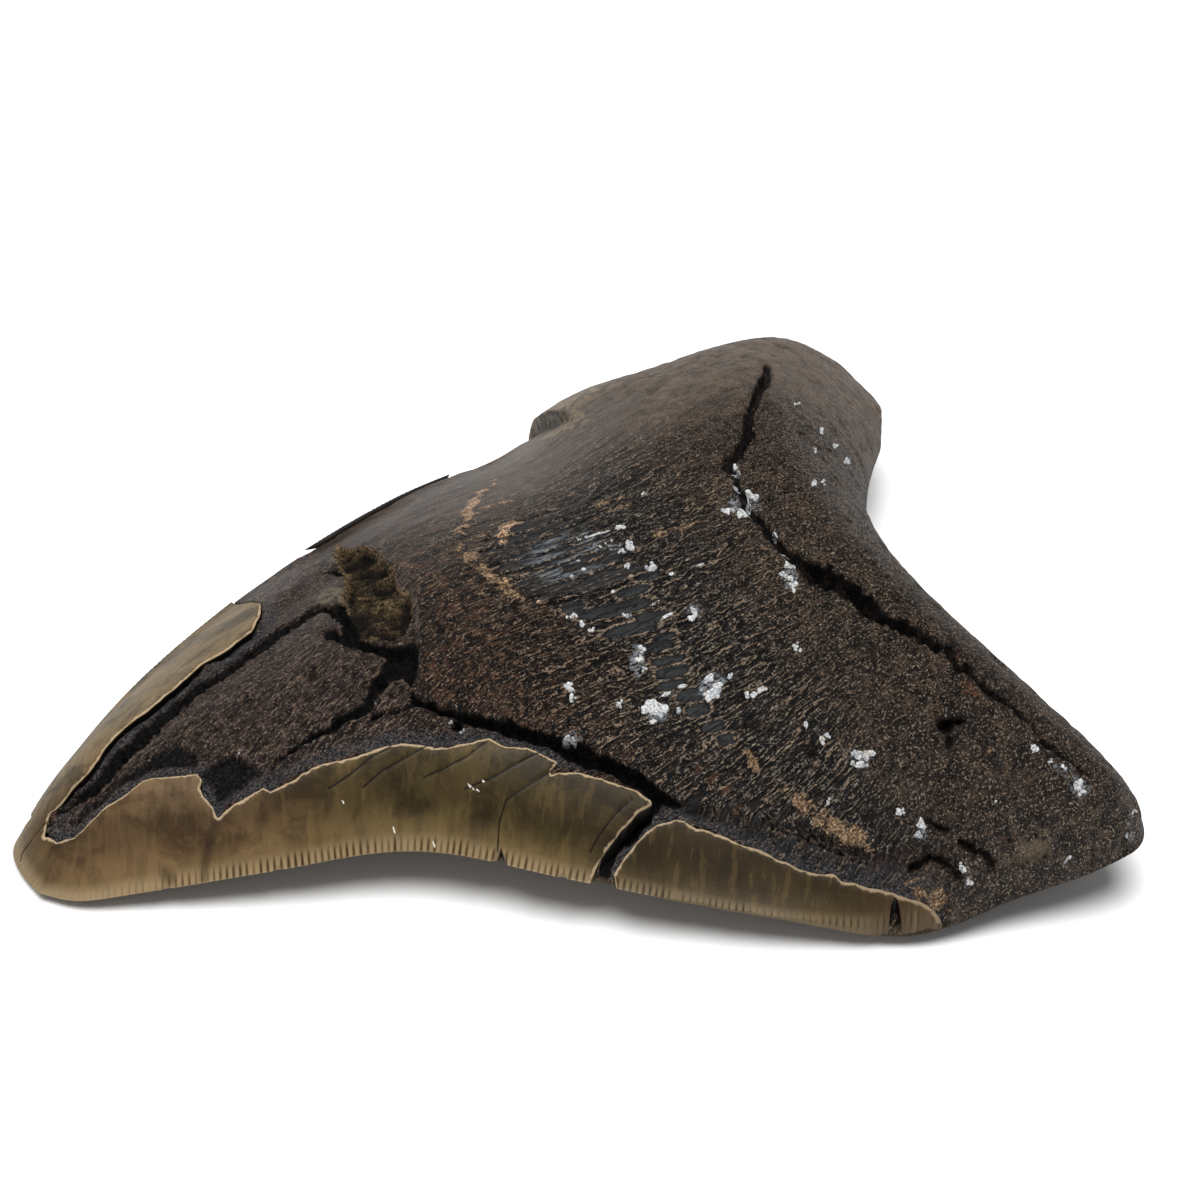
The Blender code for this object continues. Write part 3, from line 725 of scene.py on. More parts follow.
def under_enamel(x, y):
    """Signed plan distance into the nearest enamel plate."""
    return inside_any(PLATE_OUTLINES, x, y)


def warped(x, y):
    """Plan points shifted by noise, so that drawn outlines and cracks run as natural ones do."""
    shifts = []
    for seed in (SEED + 1, SEED + 3):
        coarse = 0.3 * layered_noise(x / 2.2, y / 2.2, seed, 2)
        shifts.append(coarse + 0.2 * layered_noise(x / 0.7, y / 0.7, seed + 1, 2))
    return x + shifts[0], y + shifts[1]


def crack_depths(x, y):
    """How far cracks and pits go below the surface at plan points."""
    depth = np.zeros(len(x))
    ragged = 1.05 + 0.5 * layered_noise(x / 0.9, y / 0.9, SEED + 6, 3)
    for line in CRACK_PLACES:
        away, place = distance_to(line, x, y)
        half = np.interp(place, lengths_along(line), line[:, 2]) * ragged
        depth = np.maximum(depth, DEEPER * half * np.clip(1 - (away / (1.12 * half)) ** 1.8, 0, 1) ** 0.9)
    for centre, shape, (*_, deepest) in zip(*PIT_PATCHES, PITS):
        u, w = np.linalg.inv(shape) @ np.vstack([x - centre[0], y - centre[1]])
        depth = np.maximum(depth, deepest * np.clip(1 - np.hypot(u, w) ** 2.5, 0, 1))
    return depth


def inside_root(x, y):
    """Share of root, from none on the crown to all beyond the line where the root begins."""
    start = 88 + 0.0035 * y**2 + 1.2 * layered_noise(x / 6, y / 6, SEED + 9, 2)
    return smooth(-4, 4, x - start)


def nearest_line(lines, x, y):
    """Distance from plan points to the nearest of several lines."""
    return np.min([distance_to(line, x, y)[0] for line in lines], axis=0)


def skin_mask(x, y):
    """Signed distance into the smooth slate skin, and the distance from the cracks that cross it."""
    neck_crack = nearest_line(NECK_CRACK_PLACES, x, y) + SKIN_CRACK_HALF * NECK_CRACKS_FINER
    crack = np.minimum(nearest_line(SKIN_CRACK_PLACES, x, y), neck_crack)
    return inside_any(SKIN_PLACES, x, y), crack


def tan_mask(x, y):
    """Signed distance into the tan mineral ring and its streaks."""
    best = np.full(len(x), -MASK_REACH)
    for line in [RING_PLACES, *TAN_PLACES]:
        away, place = distance_to(line, x, y)
        half = np.interp(place, lengths_along(line), line[:, 2])
        best = np.maximum(best, half - away)
    return best


def relief(x, y, root, slab):
    """Depth of the small texture below the surface: lines along the dentine and grains on the root."""
    along, across = grain(x, y)
    lines = layered_noise(along / 8, across / 1.1, SEED + 20, 4) * 0.5 + 0.5
    lumps = layered_noise(x / 6.5, y / 6.5, SEED + 28, 3) * 0.5 + 0.5
    grains = layered_noise(x / 1.1, y / 1.1, SEED + 32, 2) * 0.5 + 0.5
    pores = smooth(0.5, 0.8, lattice_noise(x / 1.4, y / 1.4, SEED + 36))
    striped = 0.26 * lines + 0.22 * lumps + 0.1 * grains
    rough = 0.3 * lumps + 0.26 * grains + 0.3 * pores + 0.1 * lines
    smoother = 0.3 * lumps + 0.14 * lines
    return (striped * (1 - slab) + smoother * slab) * (1 - root) + rough * root


def areas_at(x, y, wx, wy):
    """Signed distances into the drawn areas in mm, and the shares of the root, the far slope (even, and
    painted lighter), the dome's painted shade and the ribs, at plan points and their warped places."""
    bare = depth_inside(BARE, wx, wy)
    skin, skin_crack = skin_mask(x, y)
    # the far slope's share: less texture there, and painted lighter as painted light
    calm = smooth(12, 30, y) * smooth(62, 86, x + 0.6 * y)
    return {"bare": bare, "skin": skin, "skin_crack": skin_crack, "calm": calm,
            # painted shade: the dome's far top is darkened as colour
            "shade": smooth(22, 32, y) * smooth(82, 66, x) * smooth(46, 52, x),
            "ribs": smooth(56, 66, x) * smooth(100, 88, x) * smooth(0.5, -0.5, bare) * (1 - 0.8 * calm),
            "gap_to_enamel": -under_enamel(x, y),
            "root": inside_root(x, y),
            "sand": depth_inside(SANDY_PLACES, wx, wy),
            "tan": tan_mask(wx, wy),
            "scales": inside_patches(SCALE_PATCHES, x, y, SCALE_POWER),
            "frost": inside_patches(FROST_PATCHES, wx, wy),
            "rust": inside_patches(RUST_PATCHES, wx, wy),
            "sheen": inside_patches(SHEEN_PATCH, wx, wy),
            "stain": inside_patches(STAIN_PATCHES, wx, wy)}


def skin_drop(x, y, areas):
    """How far the lost enamel, the texture, the scales and the tan mineral lower or raise the face."""
    scales, skin = areas["scales"], areas["skin"]
    slab = smooth(-1.5, 1.5, areas["bare"]) * smooth(56, 50, x)
    drop = relief(x, y, areas["root"], slab) * (1 - 0.6 * smooth(0, 0.5, np.maximum(scales, skin))) - 0.12
    drop += 0.16 * smooth(-0.05, 0.15, scales) - 0.12 * smooth(-0.1, 0.35, areas["tan"])
    drop += SKIN_CRACK_DEPTH * smooth(SKIN_CRACK_HALF * 1.8, SKIN_CRACK_HALF * 0.4, areas["skin_crack"])
    beyond = smooth(14, 20, y)
    drop += ENAMEL * smooth(-0.6 - 3 * beyond, 0.5 + 3 * beyond, areas["bare"])
    return drop * (1 - 0.9 * smooth(9, 4, np.hypot(x - STRIP_END[0], y - STRIP_END[1])))


def far_step(x, y):
    """How far the face falls before the step at the far shoulder, and the share of the rise beyond it."""
    past = x - FAR_STEP - 0.7 * layered_noise(y / 3, y * 0, SEED + 52)
    fall = STEP_FALL * smooth(-14, 0, past) * smooth(0.3, 0, past) * smooth(36, 46, y)
    return fall, smooth(-0.2, 0.3, past) * smooth(14, 3, past) * smooth(36, 44, y)


def hollows(x, y, wx, wy, sand):
    """Depth of the sandy hollow, the gap beside it and the granular strips; how dark their painted shade is;
    and the share of granular strip."""
    grains = layered_noise(x / 0.9, y / 0.9, SEED + 40, 3)
    clods = layered_noise(x / 2.2, y / 2.2, SEED + 44, 3)
    beads = lattice_noise(x / 0.5, y / 0.5, SEED + 48)
    hollow = smooth(-0.1, 0.7, sand) * (HOLLOW_DEPTH + 0.9 * clods + 0.5 * grains)
    gap = smooth(-0.2, 0.9, depth_inside(GAP_PLACES, wx, wy)) * (GAP_DEPTH + 0.8 * clods)
    granular = smooth(-0.2, 0.6, inside_any(GRANULAR_PLACES, wx, wy))
    deep = np.max([hollow, gap, granular * (GRANULAR_DEPTH + 0.3 * grains + 0.25 * beads)], axis=0)
    return deep, np.max([hollow * 0.4, gap * 0.9, granular * 0.3], axis=0), granular


def body_drop(x, y, thickness):
    """How far the body lies below the unbroken tooth at plan points, and the values for its material."""
    wx, wy = warped(x, y)
    areas = areas_at(x, y, wx, wy)
    fall, flared = far_step(x, y)
    deep, painted_shade_depth, granular = hollows(x, y, wx, wy, areas["sand"])
    cracked = crack_depths(wx, wy)
    lifted = smooth(-0.1, 0.2, inside_any(SHARD_PLACES, x, y))
    under = -areas["gap_to_enamel"]
    clear = smooth(0.0, 0.35, -under)

    drop = skin_drop(x, y, areas)
    drop += FLAKED_DEPTH * smooth(-2.5, 0.5, depth_inside(FLAKED, wx, wy))
    drop += fall
    drop -= FLARE_RISE * flared
    drop += np.maximum(deep, cracked) * clear * (1 - 0.8 * lifted)
    drop = np.where(under > 0, np.maximum(drop, ENAMEL * smooth(-0.05, 0.25, under)), drop)
    highest = 0.03 - (OUTWARD + FLARE_RISE * flared) * smooth(*OUTWARD_FROM, thickness)
    drop = np.clip(drop, highest, DEEPEST_SHARE * thickness + 0.03)

    areas |= {"granular": granular, "labial": np.zeros(len(x)),
              # depth also sets how dark the painted shade inside cracks, pits and hollows is
              "depth": np.maximum(painted_shade_depth, cracked) * clear * (1 - lifted),
              "stain": np.maximum(areas["stain"], 2 * flared - 1)}
    return drop, {key: np.clip(values, -MASK_REACH, MASK_REACH) for key, values in areas.items()}


def body_top(points):
    """The body's upper face: the unbroken tooth, lowered along its normals."""
    x, y = points.T
    _, _, upper, lower, normal, _ = base_surface(x, y)
    drop, masks = body_drop(x, y, upper - lower)
    places = np.column_stack([x, y, upper]) - normal * drop[:, None]
    places[:, 2] = np.maximum(places[:, 2], lower + THINNEST)
    return places, masks


def body_bottom(points):
    """The labial face: smooth enamel on the crown, rough on the root."""
    x, y = points.T
    s, _, _, lower, _, _ = base_surface(x, y)
    rough = layered_noise(x / 3, y / 3, SEED + 60, 3) * 0.5 + 0.5
    root = smooth(CROWN_END, ROOT_START, s)
    rise = (0.1 + 0.3 * root) * rough
    outside = ("sand", "bare", "tan", "scales", "skin", "frost", "rust", "sheen", "stain")
    masks = {key: np.full(len(x), -MASK_REACH) for key in outside}
    masks |= {key: np.full(len(x), MASK_REACH) for key in ("gap_to_enamel", "skin_crack")}
    masks |= {key: np.zeros(len(x)) for key in ("depth", "calm", "shade", "ribs", "granular")}
    masks |= {"root": root, "labial": np.ones(len(x))}
    return np.column_stack([x, y, np.maximum(lower + rise * (lower > 0.3) - 0.02, 0)]), masks


def body_outline():
    """The body's plan rim: inside the cutting edges' enamel on the crown, the tooth's own on the root."""
    s, v = outline_of_tooth(0.4)
    rim = np.column_stack(faces_of_tooth(s, v)[:2])
    inset = 0.05 + CORE_INSET * smooth(0.74, 0.66, s)
    inset += LOBE_WORN * np.exp(-((rim - LOBE_TIP) ** 2).sum(axis=1) / 16)
    return rim + inward(rim) * inset[:, None]


def body_seeds(rim):
    """Points for the body's upper face: close together at cracks and breaks, far apart under enamel."""
    low, high = rim.min(0), rim.max(0)

    def cells(points):
        return tuple(((points - low) / COARSE).astype(int).T)

    coarse = within(rim, hex_points(COARSE, low, high), 0.5)
    detailed = np.zeros(((high - low) / COARSE).astype(int) + 2, bool)
    detailed[cells(coarse[is_detailed(coarse)])] = True
    fine = hex_points(FINE, low, high)
    fine = within(rim, fine[detailed[cells(np.minimum(fine, high))]], 0.3)
    coarse = coarse[~detailed[cells(coarse)]]
    coarse = coarse[under_enamel(*coarse.T) < 0.5]
    hidden = within(rim, hex_points(UNDER_PITCH, low, high), 0.9)
    hidden = hidden[under_enamel(*hidden.T) >= 0.6]
    rings = within(rim, np.vstack([rim + inward(rim) * d for d in RIM_RINGS]), 0.03)
    return np.vstack([fine, coarse, hidden, rings])


def is_detailed(points):
    """True at plan points close to a crack, a pit, a scale or a broken border."""
    x, y = points.T
    wx, wy = warped(x, y)
    under = under_enamel(x, y)
    near = (crack_depths(wx, wy) > 0.02) | (np.abs(under + 0.2) < 0.4)
    near |= (depth_inside(SANDY_PLACES, wx, wy) > -0.4) | (depth_inside(GAP_PLACES, wx, wy) > -0.4)
    near |= inside_any(GRANULAR_PLACES, wx, wy) > -0.2
    near |= (inside_patches(SCALE_PATCHES, x, y, SCALE_POWER) > -0.45) | (skin_mask(x, y)[1] < 0.5)
    near |= (np.abs(x - FAR_STEP) < 1.3) & (y > 36)
    return near & (under < 0.2)


# ------------------------------------------------------------------ the enamel plates

ENAMEL_CRACK_PLACES = [on_tooth(crack, 0.0) for crack in ENAMEL_CRACKS]
SCRATCH_PLACES = [on_tooth(scratch, 0.0) for scratch in SCRATCHES]
CRACK_SHADE_PLACES = [on_tooth(smudge, 0.0) for smudge in CRACK_SHADE_LINES]


def serration(place, x, y):
    """Inward cut of the edge, in mm, and how deep the groove between two serrations is, from 0 to 1. The
    tip, the far edge and the root end are worn."""
    worn = (0.1 + 0.9 * smooth(8, 27, x)) * (1 - 0.7 * smooth(0, 6, y)) * (1 - 0.65 * smooth(64, 70, x))
    uneven = 0.7 + 0.5 * lattice_noise(place / 1.1, place * 0, SEED + 70)
    phase = place / SERRATION_PITCH + 0.22 * lattice_noise(place / 3.1, place * 0, SEED + 71)
    groove = np.abs(2 * (phase % 1) - 1) ** 4
    return SERRATION_DEPTH * worn * uneven * groove, groove * worn * uneven


def edge_of_plate(outer):
    """A plate's cutting edge with its serrations and chips cut into it, and the way inwards from it."""
    place = lengths_along(outer)
    cut, _ = serration(place, *outer.T)
    near = outer[:, 1] < 0
    for chip_x, half, deep in CHIPS:
        cut += near * deep * np.clip(1 - ((outer[:, 0] - chip_x) / half) ** 2, 0, 1)
    worn = smooth(66, 70, outer[:, 0]) * near
    cut += worn * WORN_EDGE * (0.6 + 0.6 * layered_noise(place / 3.5, place * 0, SEED + 73, 4))
    cut = np.maximum(cut, 0) * np.clip(np.minimum(place, place[-1] - place) / EDGE_END_FADE, 0, 1)
    side = sideways(outer)
    return outer + side * (cut + 0.01)[:, None], side


def place_values(x, y, edge, place):
    """The values for the enamel's material that mean the same on both faces of a plate."""
    return {"edge": edge, "place": place, "along": x, "far_side": smooth(-2, 6, y)}


def plate_top(outer, ledge):
    """The upper face of an enamel plate as a function of plan points."""
    def face(points):
        x, y = points.T
        _, _, upper, lower, normal, _ = base_surface(x, y)
        edge, place = distance_to(outer, x, y)
        broken = distance_to(ledge, x, y)[0]
        _, groove = serration(place, x, y)
        crack = nearest_line(ENAMEL_CRACK_PLACES, x, y)
        wave = layered_noise(x / 6, y / 6, SEED + 72, 2) * 0.5 + 0.5
        ribs = RIB_HEIGHT * groove * smooth(RIB_LENGTH, 0.2, edge) * smooth(0.0, 0.25, edge)
        drop = 0.02 + 0.06 * wave + ribs
        drop += 0.09 * np.clip(1 - crack / 0.17, 0, 1) + 0.18 * np.clip(1 - broken / 0.25, 0, 1) ** 2
        drop = np.minimum(drop, 0.35 * (upper - lower))
        places = np.column_stack([x, y, upper]) - normal * drop[:, None]
        places[:, 2] = np.maximum(places[:, 2], lower + 0.03)
        values = place_values(x, y, edge, place)
        values |= {"ledge": broken, "crack": crack, "groove": groove, "buried": x * 0,
                   "scratch": nearest_line(SCRATCH_PLACES, x, y),
                   "smudge": nearest_line(CRACK_SHADE_PLACES, x, y)}
        return places, values
    return face


def plate_bottom(outer):
    """The lower face: on the labial side beside the edge, and inside the body further in."""
    def face(points):
        x, y = points.T
        _, _, upper, lower, _, _ = base_surface(x, y)
        edge, place = distance_to(outer, x, y)
        height = np.maximum(np.maximum(lower - LABIAL_LIP, 0), upper - ENAMEL_SEAT)
        height = np.minimum(height, upper - 0.05)
        values = place_values(x, y, edge, place)
        values |= {key: np.full(len(x), FAR_AWAY) for key in ("ledge", "crack", "scratch", "smudge")}
        values |= {"groove": x * 0, "buried": smooth(0.5, 1.5, edge)}
        return np.column_stack([x, y, np.maximum(height, 0)]), values
    return face


def plate_seeds(rim, outer, rings, close):
    """Points for a plate's upper face: rows along its cutting edge and its cracks, and a lattice."""
    inner = hex_points(PLATE_PITCH, rim.min(0), rim.max(0))
    inner = inner[distance_to(outer, *inner.T)[0] > PLATE_RINGS_END]
    crack_rows = np.vstack([walked(line[:, :2], 0.15) for line in ENAMEL_CRACK_PLACES])
    crack_rows = crack_rows[distance_to(outer, *crack_rows.T)[0] > 0.6]
    seeds = np.vstack([inner, rings])
    seeds = seeds[distance_to(crack_rows, *seeds.T)[0] > 0.07]
    return np.vstack([within(rim, np.vstack([seeds, crack_rows]), 0.1), within(rim, close, 0.04)])


def enamel_plate(name, outer, ledge):
    """A closed plate of enamel, seated in the body."""
    edge, side = edge_of_plate(outer)
    rim = np.vstack([edge, ledge[1:-1]])
    rings = np.vstack([outer[1:-1] + side[1:-1] * d for d in PLATE_RINGS])
    close = np.vstack([edge[1:-1] + side[1:-1] * d for d in PLATE_CLOSE_RINGS])
    under = hex_points(PLATE_UNDER_PITCH, rim.min(0), rim.max(0))
    under = np.vstack([within(rim, under, 0.5), within(rim, rings[::3], 0.2)])
    seeds = plate_seeds(rim, outer, rings, close)
    made = solid_mesh(name, rim, seeds, under, plate_top(outer, ledge), plate_bottom(outer))
    made.data.set_sharp_from_angle(angle=ENAMEL_SHARP)
    return made


# ------------------------------------------------------------------ the mineral crusts

# Rings of a lump: share of its half-width and share of its height
LUMP_RINGS = ((0.0, 1.0), (0.35, 0.94), (0.62, 0.76), (0.84, 0.45), (1.0, 0.0))
LUMP_SIDES = 12
LUMP_SEAT = 0.35           # mm that a lump reaches into the body
LUMP_AREA = 4.0            # square pixels of crust to a lump
CRUST_TALL = (0.08, 0.26)  # least and greatest height of a lump, in mm
TOP = CAD_BOX[1][2] / MM - 0.05  # no lump rises above this, in mm


def lumps_of_crusts(random):
    """Centres and plan shapes of the lumps that make up each crust, and their heights in mm."""
    centres, shapes, tall = [], [], []
    for centre, shape, (_, _, half_length, half_width, _) in zip(*patches(CRUSTS), CRUSTS):
        count = int(np.clip(half_length * half_width / LUMP_AREA, 1, 14))
        round_share = min(half_length, half_width) / np.array([half_length, half_width])
        for k in range(count):
            turn, out = random.uniform(0, 2 * np.pi), np.sqrt((k + 0.3) / count) * 0.85
            size = random.uniform(0.3, 0.62) if count > 2 else random.uniform(0.7, 1.0)
            centres.append(centre + shape @ (out * (count > 1) * np.array([np.cos(turn), np.sin(turn)])))
            shapes.append(shape * size * (round_share * random.uniform(0.8, 1.3, 2) if count > 2 else 1))
            tall.append(random.uniform(*CRUST_TALL))
    return np.array(centres), np.array(shapes), np.array(tall)


def crust_pieces():
    """Small rounded lumps that sit on the body's surface, joined in one mesh."""
    random = np.random.default_rng(SEED + 90)
    centres, shapes, tall = lumps_of_crusts(random)
    turns = np.arange(LUMP_SIDES) * 2 * np.pi / LUMP_SIDES
    circle = np.column_stack([np.cos(turns), np.sin(turns)])
    uneven = 1 + 0.22 * random.uniform(-1, 1, (len(centres), LUMP_SIDES, 1))
    rims = np.einsum("nij,nkj->nki", shapes, circle * uneven)
    shares = np.array([share for share, _ in LUMP_RINGS])
    plan = (centres[:, None, None] + rims[:, None] * shares[:, None, None]).reshape(-1, 2)
    rise = np.tile(np.repeat([height for _, height in LUMP_RINGS], LUMP_SIDES), len(centres))
    surface = body_top(plan)[0]
    bumpy = 0.75 + 0.35 * lattice_noise(plan[:, 0] / 0.25, plan[:, 1] / 0.25, SEED + 91)
    top = surface.copy()
    top[:, 2] += np.repeat(tall, len(LUMP_RINGS) * LUMP_SIDES) * rise * bumpy
    top[:, 2] = np.maximum(np.minimum(top[:, 2], TOP), surface[:, 2])
    size = len(LUMP_RINGS) * LUMP_SIDES
    top, surface = top.reshape(-1, size, 3), surface.reshape(-1, size, 3)
    seat = surface[:, -LUMP_SIDES:] - [0, 0, LUMP_SEAT]
    places = np.concatenate([top[:, LUMP_SIDES - 1:], seat, surface[:, :1] - [0, 0, LUMP_SEAT]], axis=1)
    faces = np.array(lump_faces(len(LUMP_RINGS) - 1))
    shift = np.arange(len(centres))[:, None, None] * places.shape[1]
    mirrored = np.linalg.det(shapes)[:, None, None] < 0
    triangles = (np.where(mirrored, faces[:, ::-1], faces) + shift).reshape(-1, 3)
    return mesh_piece("mineral_crusts", places.reshape(-1, 3), triangles, {})


def lump_faces(rings):
    """Triangles of one lump: a fan, rings, a side and a fan below. The first point is the middle."""
    faces = []
    n = LUMP_SIDES
    levels = [1 + k * n for k in range(rings + 1)]
    for i in range(n):
        j = (i + 1) % n
        faces.append((0, levels[0] + i, levels[0] + j))
        for a, b in zip(levels[:-1], levels[1:]):
            faces += [(a + i, b + i, b + j), (a + i, b + j, a + j)]
        faces.append((levels[-1] + j, levels[-1] + i, levels[-1] + n))
    return faces


# ------------------------------------------------------------------ materials

def colour(red, green, blue):
    """A display colour, from 0 to 255, as linear light."""
    share = np.array([red, green, blue]) / 255
    linear = np.where(share <= 0.04045, share / 12.92, ((share + 0.055) / 1.055) ** 2.4)
    return (*linear.tolist(), 1.0)


class Shader:
    """A node material, with short ways to add the nodes that it uses. Tones are sockets or display
    colours from 0 to 255."""

    def __init__(self, name):
        self.material = bpy.data.materials.new(name)
        self.material.use_nodes = True
        self.tree = self.material.node_tree
        self.surface = self.tree.nodes["Principled BSDF"]
        self.values = {}

    def set(self, socket, value):
        if isinstance(value, bpy.types.NodeSocket):
            self.tree.links.new(value, socket)
        else:
            socket.default_value = value

    def node(self, kind, inputs, **settings):
        made = self.tree.nodes.new(kind)
        for key, value in settings.items():
            setattr(made, key, value)
        for key, value in inputs.items():
            self.set(made.inputs[key], value)
        return made

    def math(self, operation, first, second=0.0):
        return self.node("ShaderNodeMath", {0: first, 1: second}, operation=operation).outputs[0]

    def times(self, first, *others):
        for other in others:
            first = self.math("MULTIPLY", first, other)
        return first

    def plus(self, first, *others):
        for other in others:
            first = self.math("ADD", first, other)
        return first

    def value(self, name):
        """One of the mesh's named values."""
        if name not in self.values:
            self.values[name] = self.node("ShaderNodeAttribute", {}, attribute_name=name).outputs["Fac"]
        return self.values[name]

    def band(self, x, low, high):
        """0 below low, 1 above high, smooth between."""
        inputs = {"Value": x, "From Min": low, "From Max": high}
        return self.node("ShaderNodeMapRange", inputs, interpolation_type="SMOOTHSTEP").outputs["Result"]

    def spread(self, x, low, high):
        """A value between 0 and 1 stretched over low to high."""
        inputs = {"Value": x, "To Min": low, "To Max": high}
        return self.node("ShaderNodeMapRange", inputs).outputs["Result"]

    def mix(self, share, first, second):
        first, second = (colour(*tone) if isinstance(tone, tuple) else tone for tone in (first, second))
        return self.node("ShaderNodeMix", {0: share, 6: first, 7: second}, data_type="RGBA").outputs[2]

    def tones(self, x, low, high, first, second):
        """The first tone where a value is below low, the second where it is above high."""
        return self.mix(self.band(x, low, high), first, second)

    def layer(self, base, tone, *shares):
        """A tone laid over a base in the product of the shares."""
        return self.mix(self.times(*shares), base, tone)

    def blend(self, share, first, second):
        return self.node("ShaderNodeMix", {0: share, 2: first, 3: second}, data_type="FLOAT").outputs[0]

    def scaled(self, vector, scale):
        inputs = {0: vector, 1: scale}
        return self.node("ShaderNodeVectorMath", inputs, operation="MULTIPLY").outputs[0]

    def millimetres(self):
        return self.scaled(self.node("ShaderNodeTexCoord", {}).outputs["Object"], (1 / MM,) * 3)

    def stretched(self, along, across):
        """Plan coordinates whose unit is so many mm along and across the grain."""
        uv = self.node("ShaderNodeUVMap", {}, uv_map="grain").outputs[0]
        unit = 1 / (MM * GRAIN_UV)
        return self.scaled(uv, (unit / along, unit / across, 1))

    def noise(self, where, scale, detail=3.0, roughness=0.55, distortion=0.0, kind="3D"):
        inputs = {"Vector": where, "Scale": scale, "Detail": detail, "Roughness": roughness,
                  "Distortion": distortion}
        return self.node("ShaderNodeTexNoise", inputs, noise_dimensions=kind).outputs["Fac"]

    def bump(self, height, strength, distance, normal=None):
        inputs = {"Height": height, "Strength": strength, "Distance": distance}
        if normal is not None:
            inputs["Normal"] = normal
        return self.node("ShaderNodeBump", inputs).outputs[0]

    def finish(self, base, roughness, normal, specular):
        self.set(self.surface.inputs["Base Color"], base)
        self.set(self.surface.inputs["Roughness"], roughness)
        self.set(self.surface.inputs["Normal"], normal)
        self.set(self.surface.inputs["Specular IOR Level"], specular)
        return self.material


def dentine_material():
    """Dark dentine with lines along the tooth, and the root, hollow and mineral that share its body."""
    s = Shader("fossil_dentine")
    add_dentine_noises(s)
    add_growth_lines(s)
    add_dentine_borders(s)
    crown = s.tones(s.value("bare"), -0.4, 0.4, dome_tone(s), slab_tone(s))
    base = s.mix(s.value("root"), crown, bone_tone(s))
    for paint in (paint_lines_and_stains, paint_bruises, paint_slate, paint_mineral, paint_depths):
        base = paint(s, base)
    return s.finish(base, dentine_roughness(s), dentine_bumps(s), 0.2)


def add_dentine_noises(s):
    """The noises that the dentine's tones share, from long strands to grit; the share of them that is
    left on the even far slope; and how near the tip a place is, where the tones are warm."""
    mm = s.millimetres()
    s.strands = s.noise(s.stretched(6.5, 0.95), 1.0, 4, 0.62, 0.35, "2D")
    s.threads = s.noise(s.stretched(1.2, 0.32), 1.0, 4, 0.78, 0.2, "2D")
    s.grains = s.noise(mm, 1.9, 3, 0.78)
    s.grit = s.noise(mm, 3.6, 2, 0.8)
    s.clouds = s.noise(mm, 0.14, 4, 0.6, 0.5)
    s.mottles = s.noise(mm, 0.5, 4, 0.64, 0.5)
    s.keep = s.spread(s.value("calm"), 1.0, 0.55)
    s.warm = s.band(s.node("ShaderNodeSeparateXYZ", {0: mm}).outputs[0], 14, -8)


def add_growth_lines(s):
    """Fine wavy lines about LINE_PITCH apart along the dentine: grooves in painted shade, their painted lit
    sides, the rows in between, and the share in which they show."""
    waves = s.noise(s.stretched(9, 2.4), 1.0, 2, 0.6, 0.0, "2D")
    wiggles = s.noise(s.stretched(1.6, 0.8), 1.0, 2, 0.6, 0.0, "2D")
    across = s.node("ShaderNodeSeparateXYZ", {0: s.stretched(1, LINE_PITCH)}).outputs[1]
    bends = s.plus(s.spread(waves, -1.5, 1.5), s.spread(wiggles, -0.5, 0.5))
    share = s.math("FRACT", s.plus(across, bends))
    # painted shade in the grooves, and a painted highlight on their lit sides
    s.dark_side = s.times(s.band(share, 0.0, 0.08), s.band(share, 0.32, 0.22))
    s.pale_side = s.times(s.band(share, 0.26, 0.31), s.band(share, 0.47, 0.38))
    s.rows = s.times(s.band(share, 0.28, 0.4), s.band(share, 0.98, 0.7))
    shown = s.band(s.noise(s.stretched(7, 1.3), 1.0, 2, 0.6, 0.0, "2D"), 0.42, 0.5)
    ribs = s.math("MAXIMUM", s.value("ribs"), s.times(s.band(s.value("bare"), 0.5, 2.0), 0.55))
    s.lined = s.times(ribs, s.math("MAXIMUM", shown, s.band(s.mottles, 0.5, 0.6)))


def add_dentine_borders(s):
    """The slate skin's ragged border, the smooth places, and the labial face's enamel."""
    s.skin_edge = s.plus(s.value("skin"), s.spread(s.strands, -5.4, 4.6), s.spread(s.threads, -1.2, 1.2))
    s.smoothness = s.math("MAXIMUM", s.band(s.value("scales"), -0.1, 0.2), s.band(s.skin_edge, 0.0, 0.6))
    s.under = s.times(s.value("labial"), s.math("SUBTRACT", 1.0, s.value("root")))


def dome_tone(s):
    """The crown's dome: nearly black, with dashes of pale mineral and pale specks that are partly grains and
    partly painted glints.
    """
    dome = s.tones(s.clouds, 0.42, 0.6, (28, 25, 24), (50, 43, 40))
    dome = s.layer(dome, (104, 76, 59), s.warm, 0.8, s.band(s.mottles, 0.42, 0.54))
    dome = s.layer(dome, (15, 13, 12), s.band(s.strands, 0.49, 0.42), 0.8, s.keep)
    dashes = s.times(s.band(s.threads, 0.54, 0.58), s.spread(s.rows, 0.3, 1.0), s.band(s.grit, 0.46, 0.54))
    dome = s.layer(dome, s.mix(s.warm, (178, 166, 152), (178, 148, 120)), dashes, s.keep)
    dome = s.layer(dome, (8, 7, 6), s.band(s.threads, 0.495, 0.46), 0.95, s.keep)
    # pale specks: partly pale grains, partly painted glints
    return s.layer(dome, (206, 190, 170), s.band(s.grit, 0.63, 0.67), 0.85, s.keep)


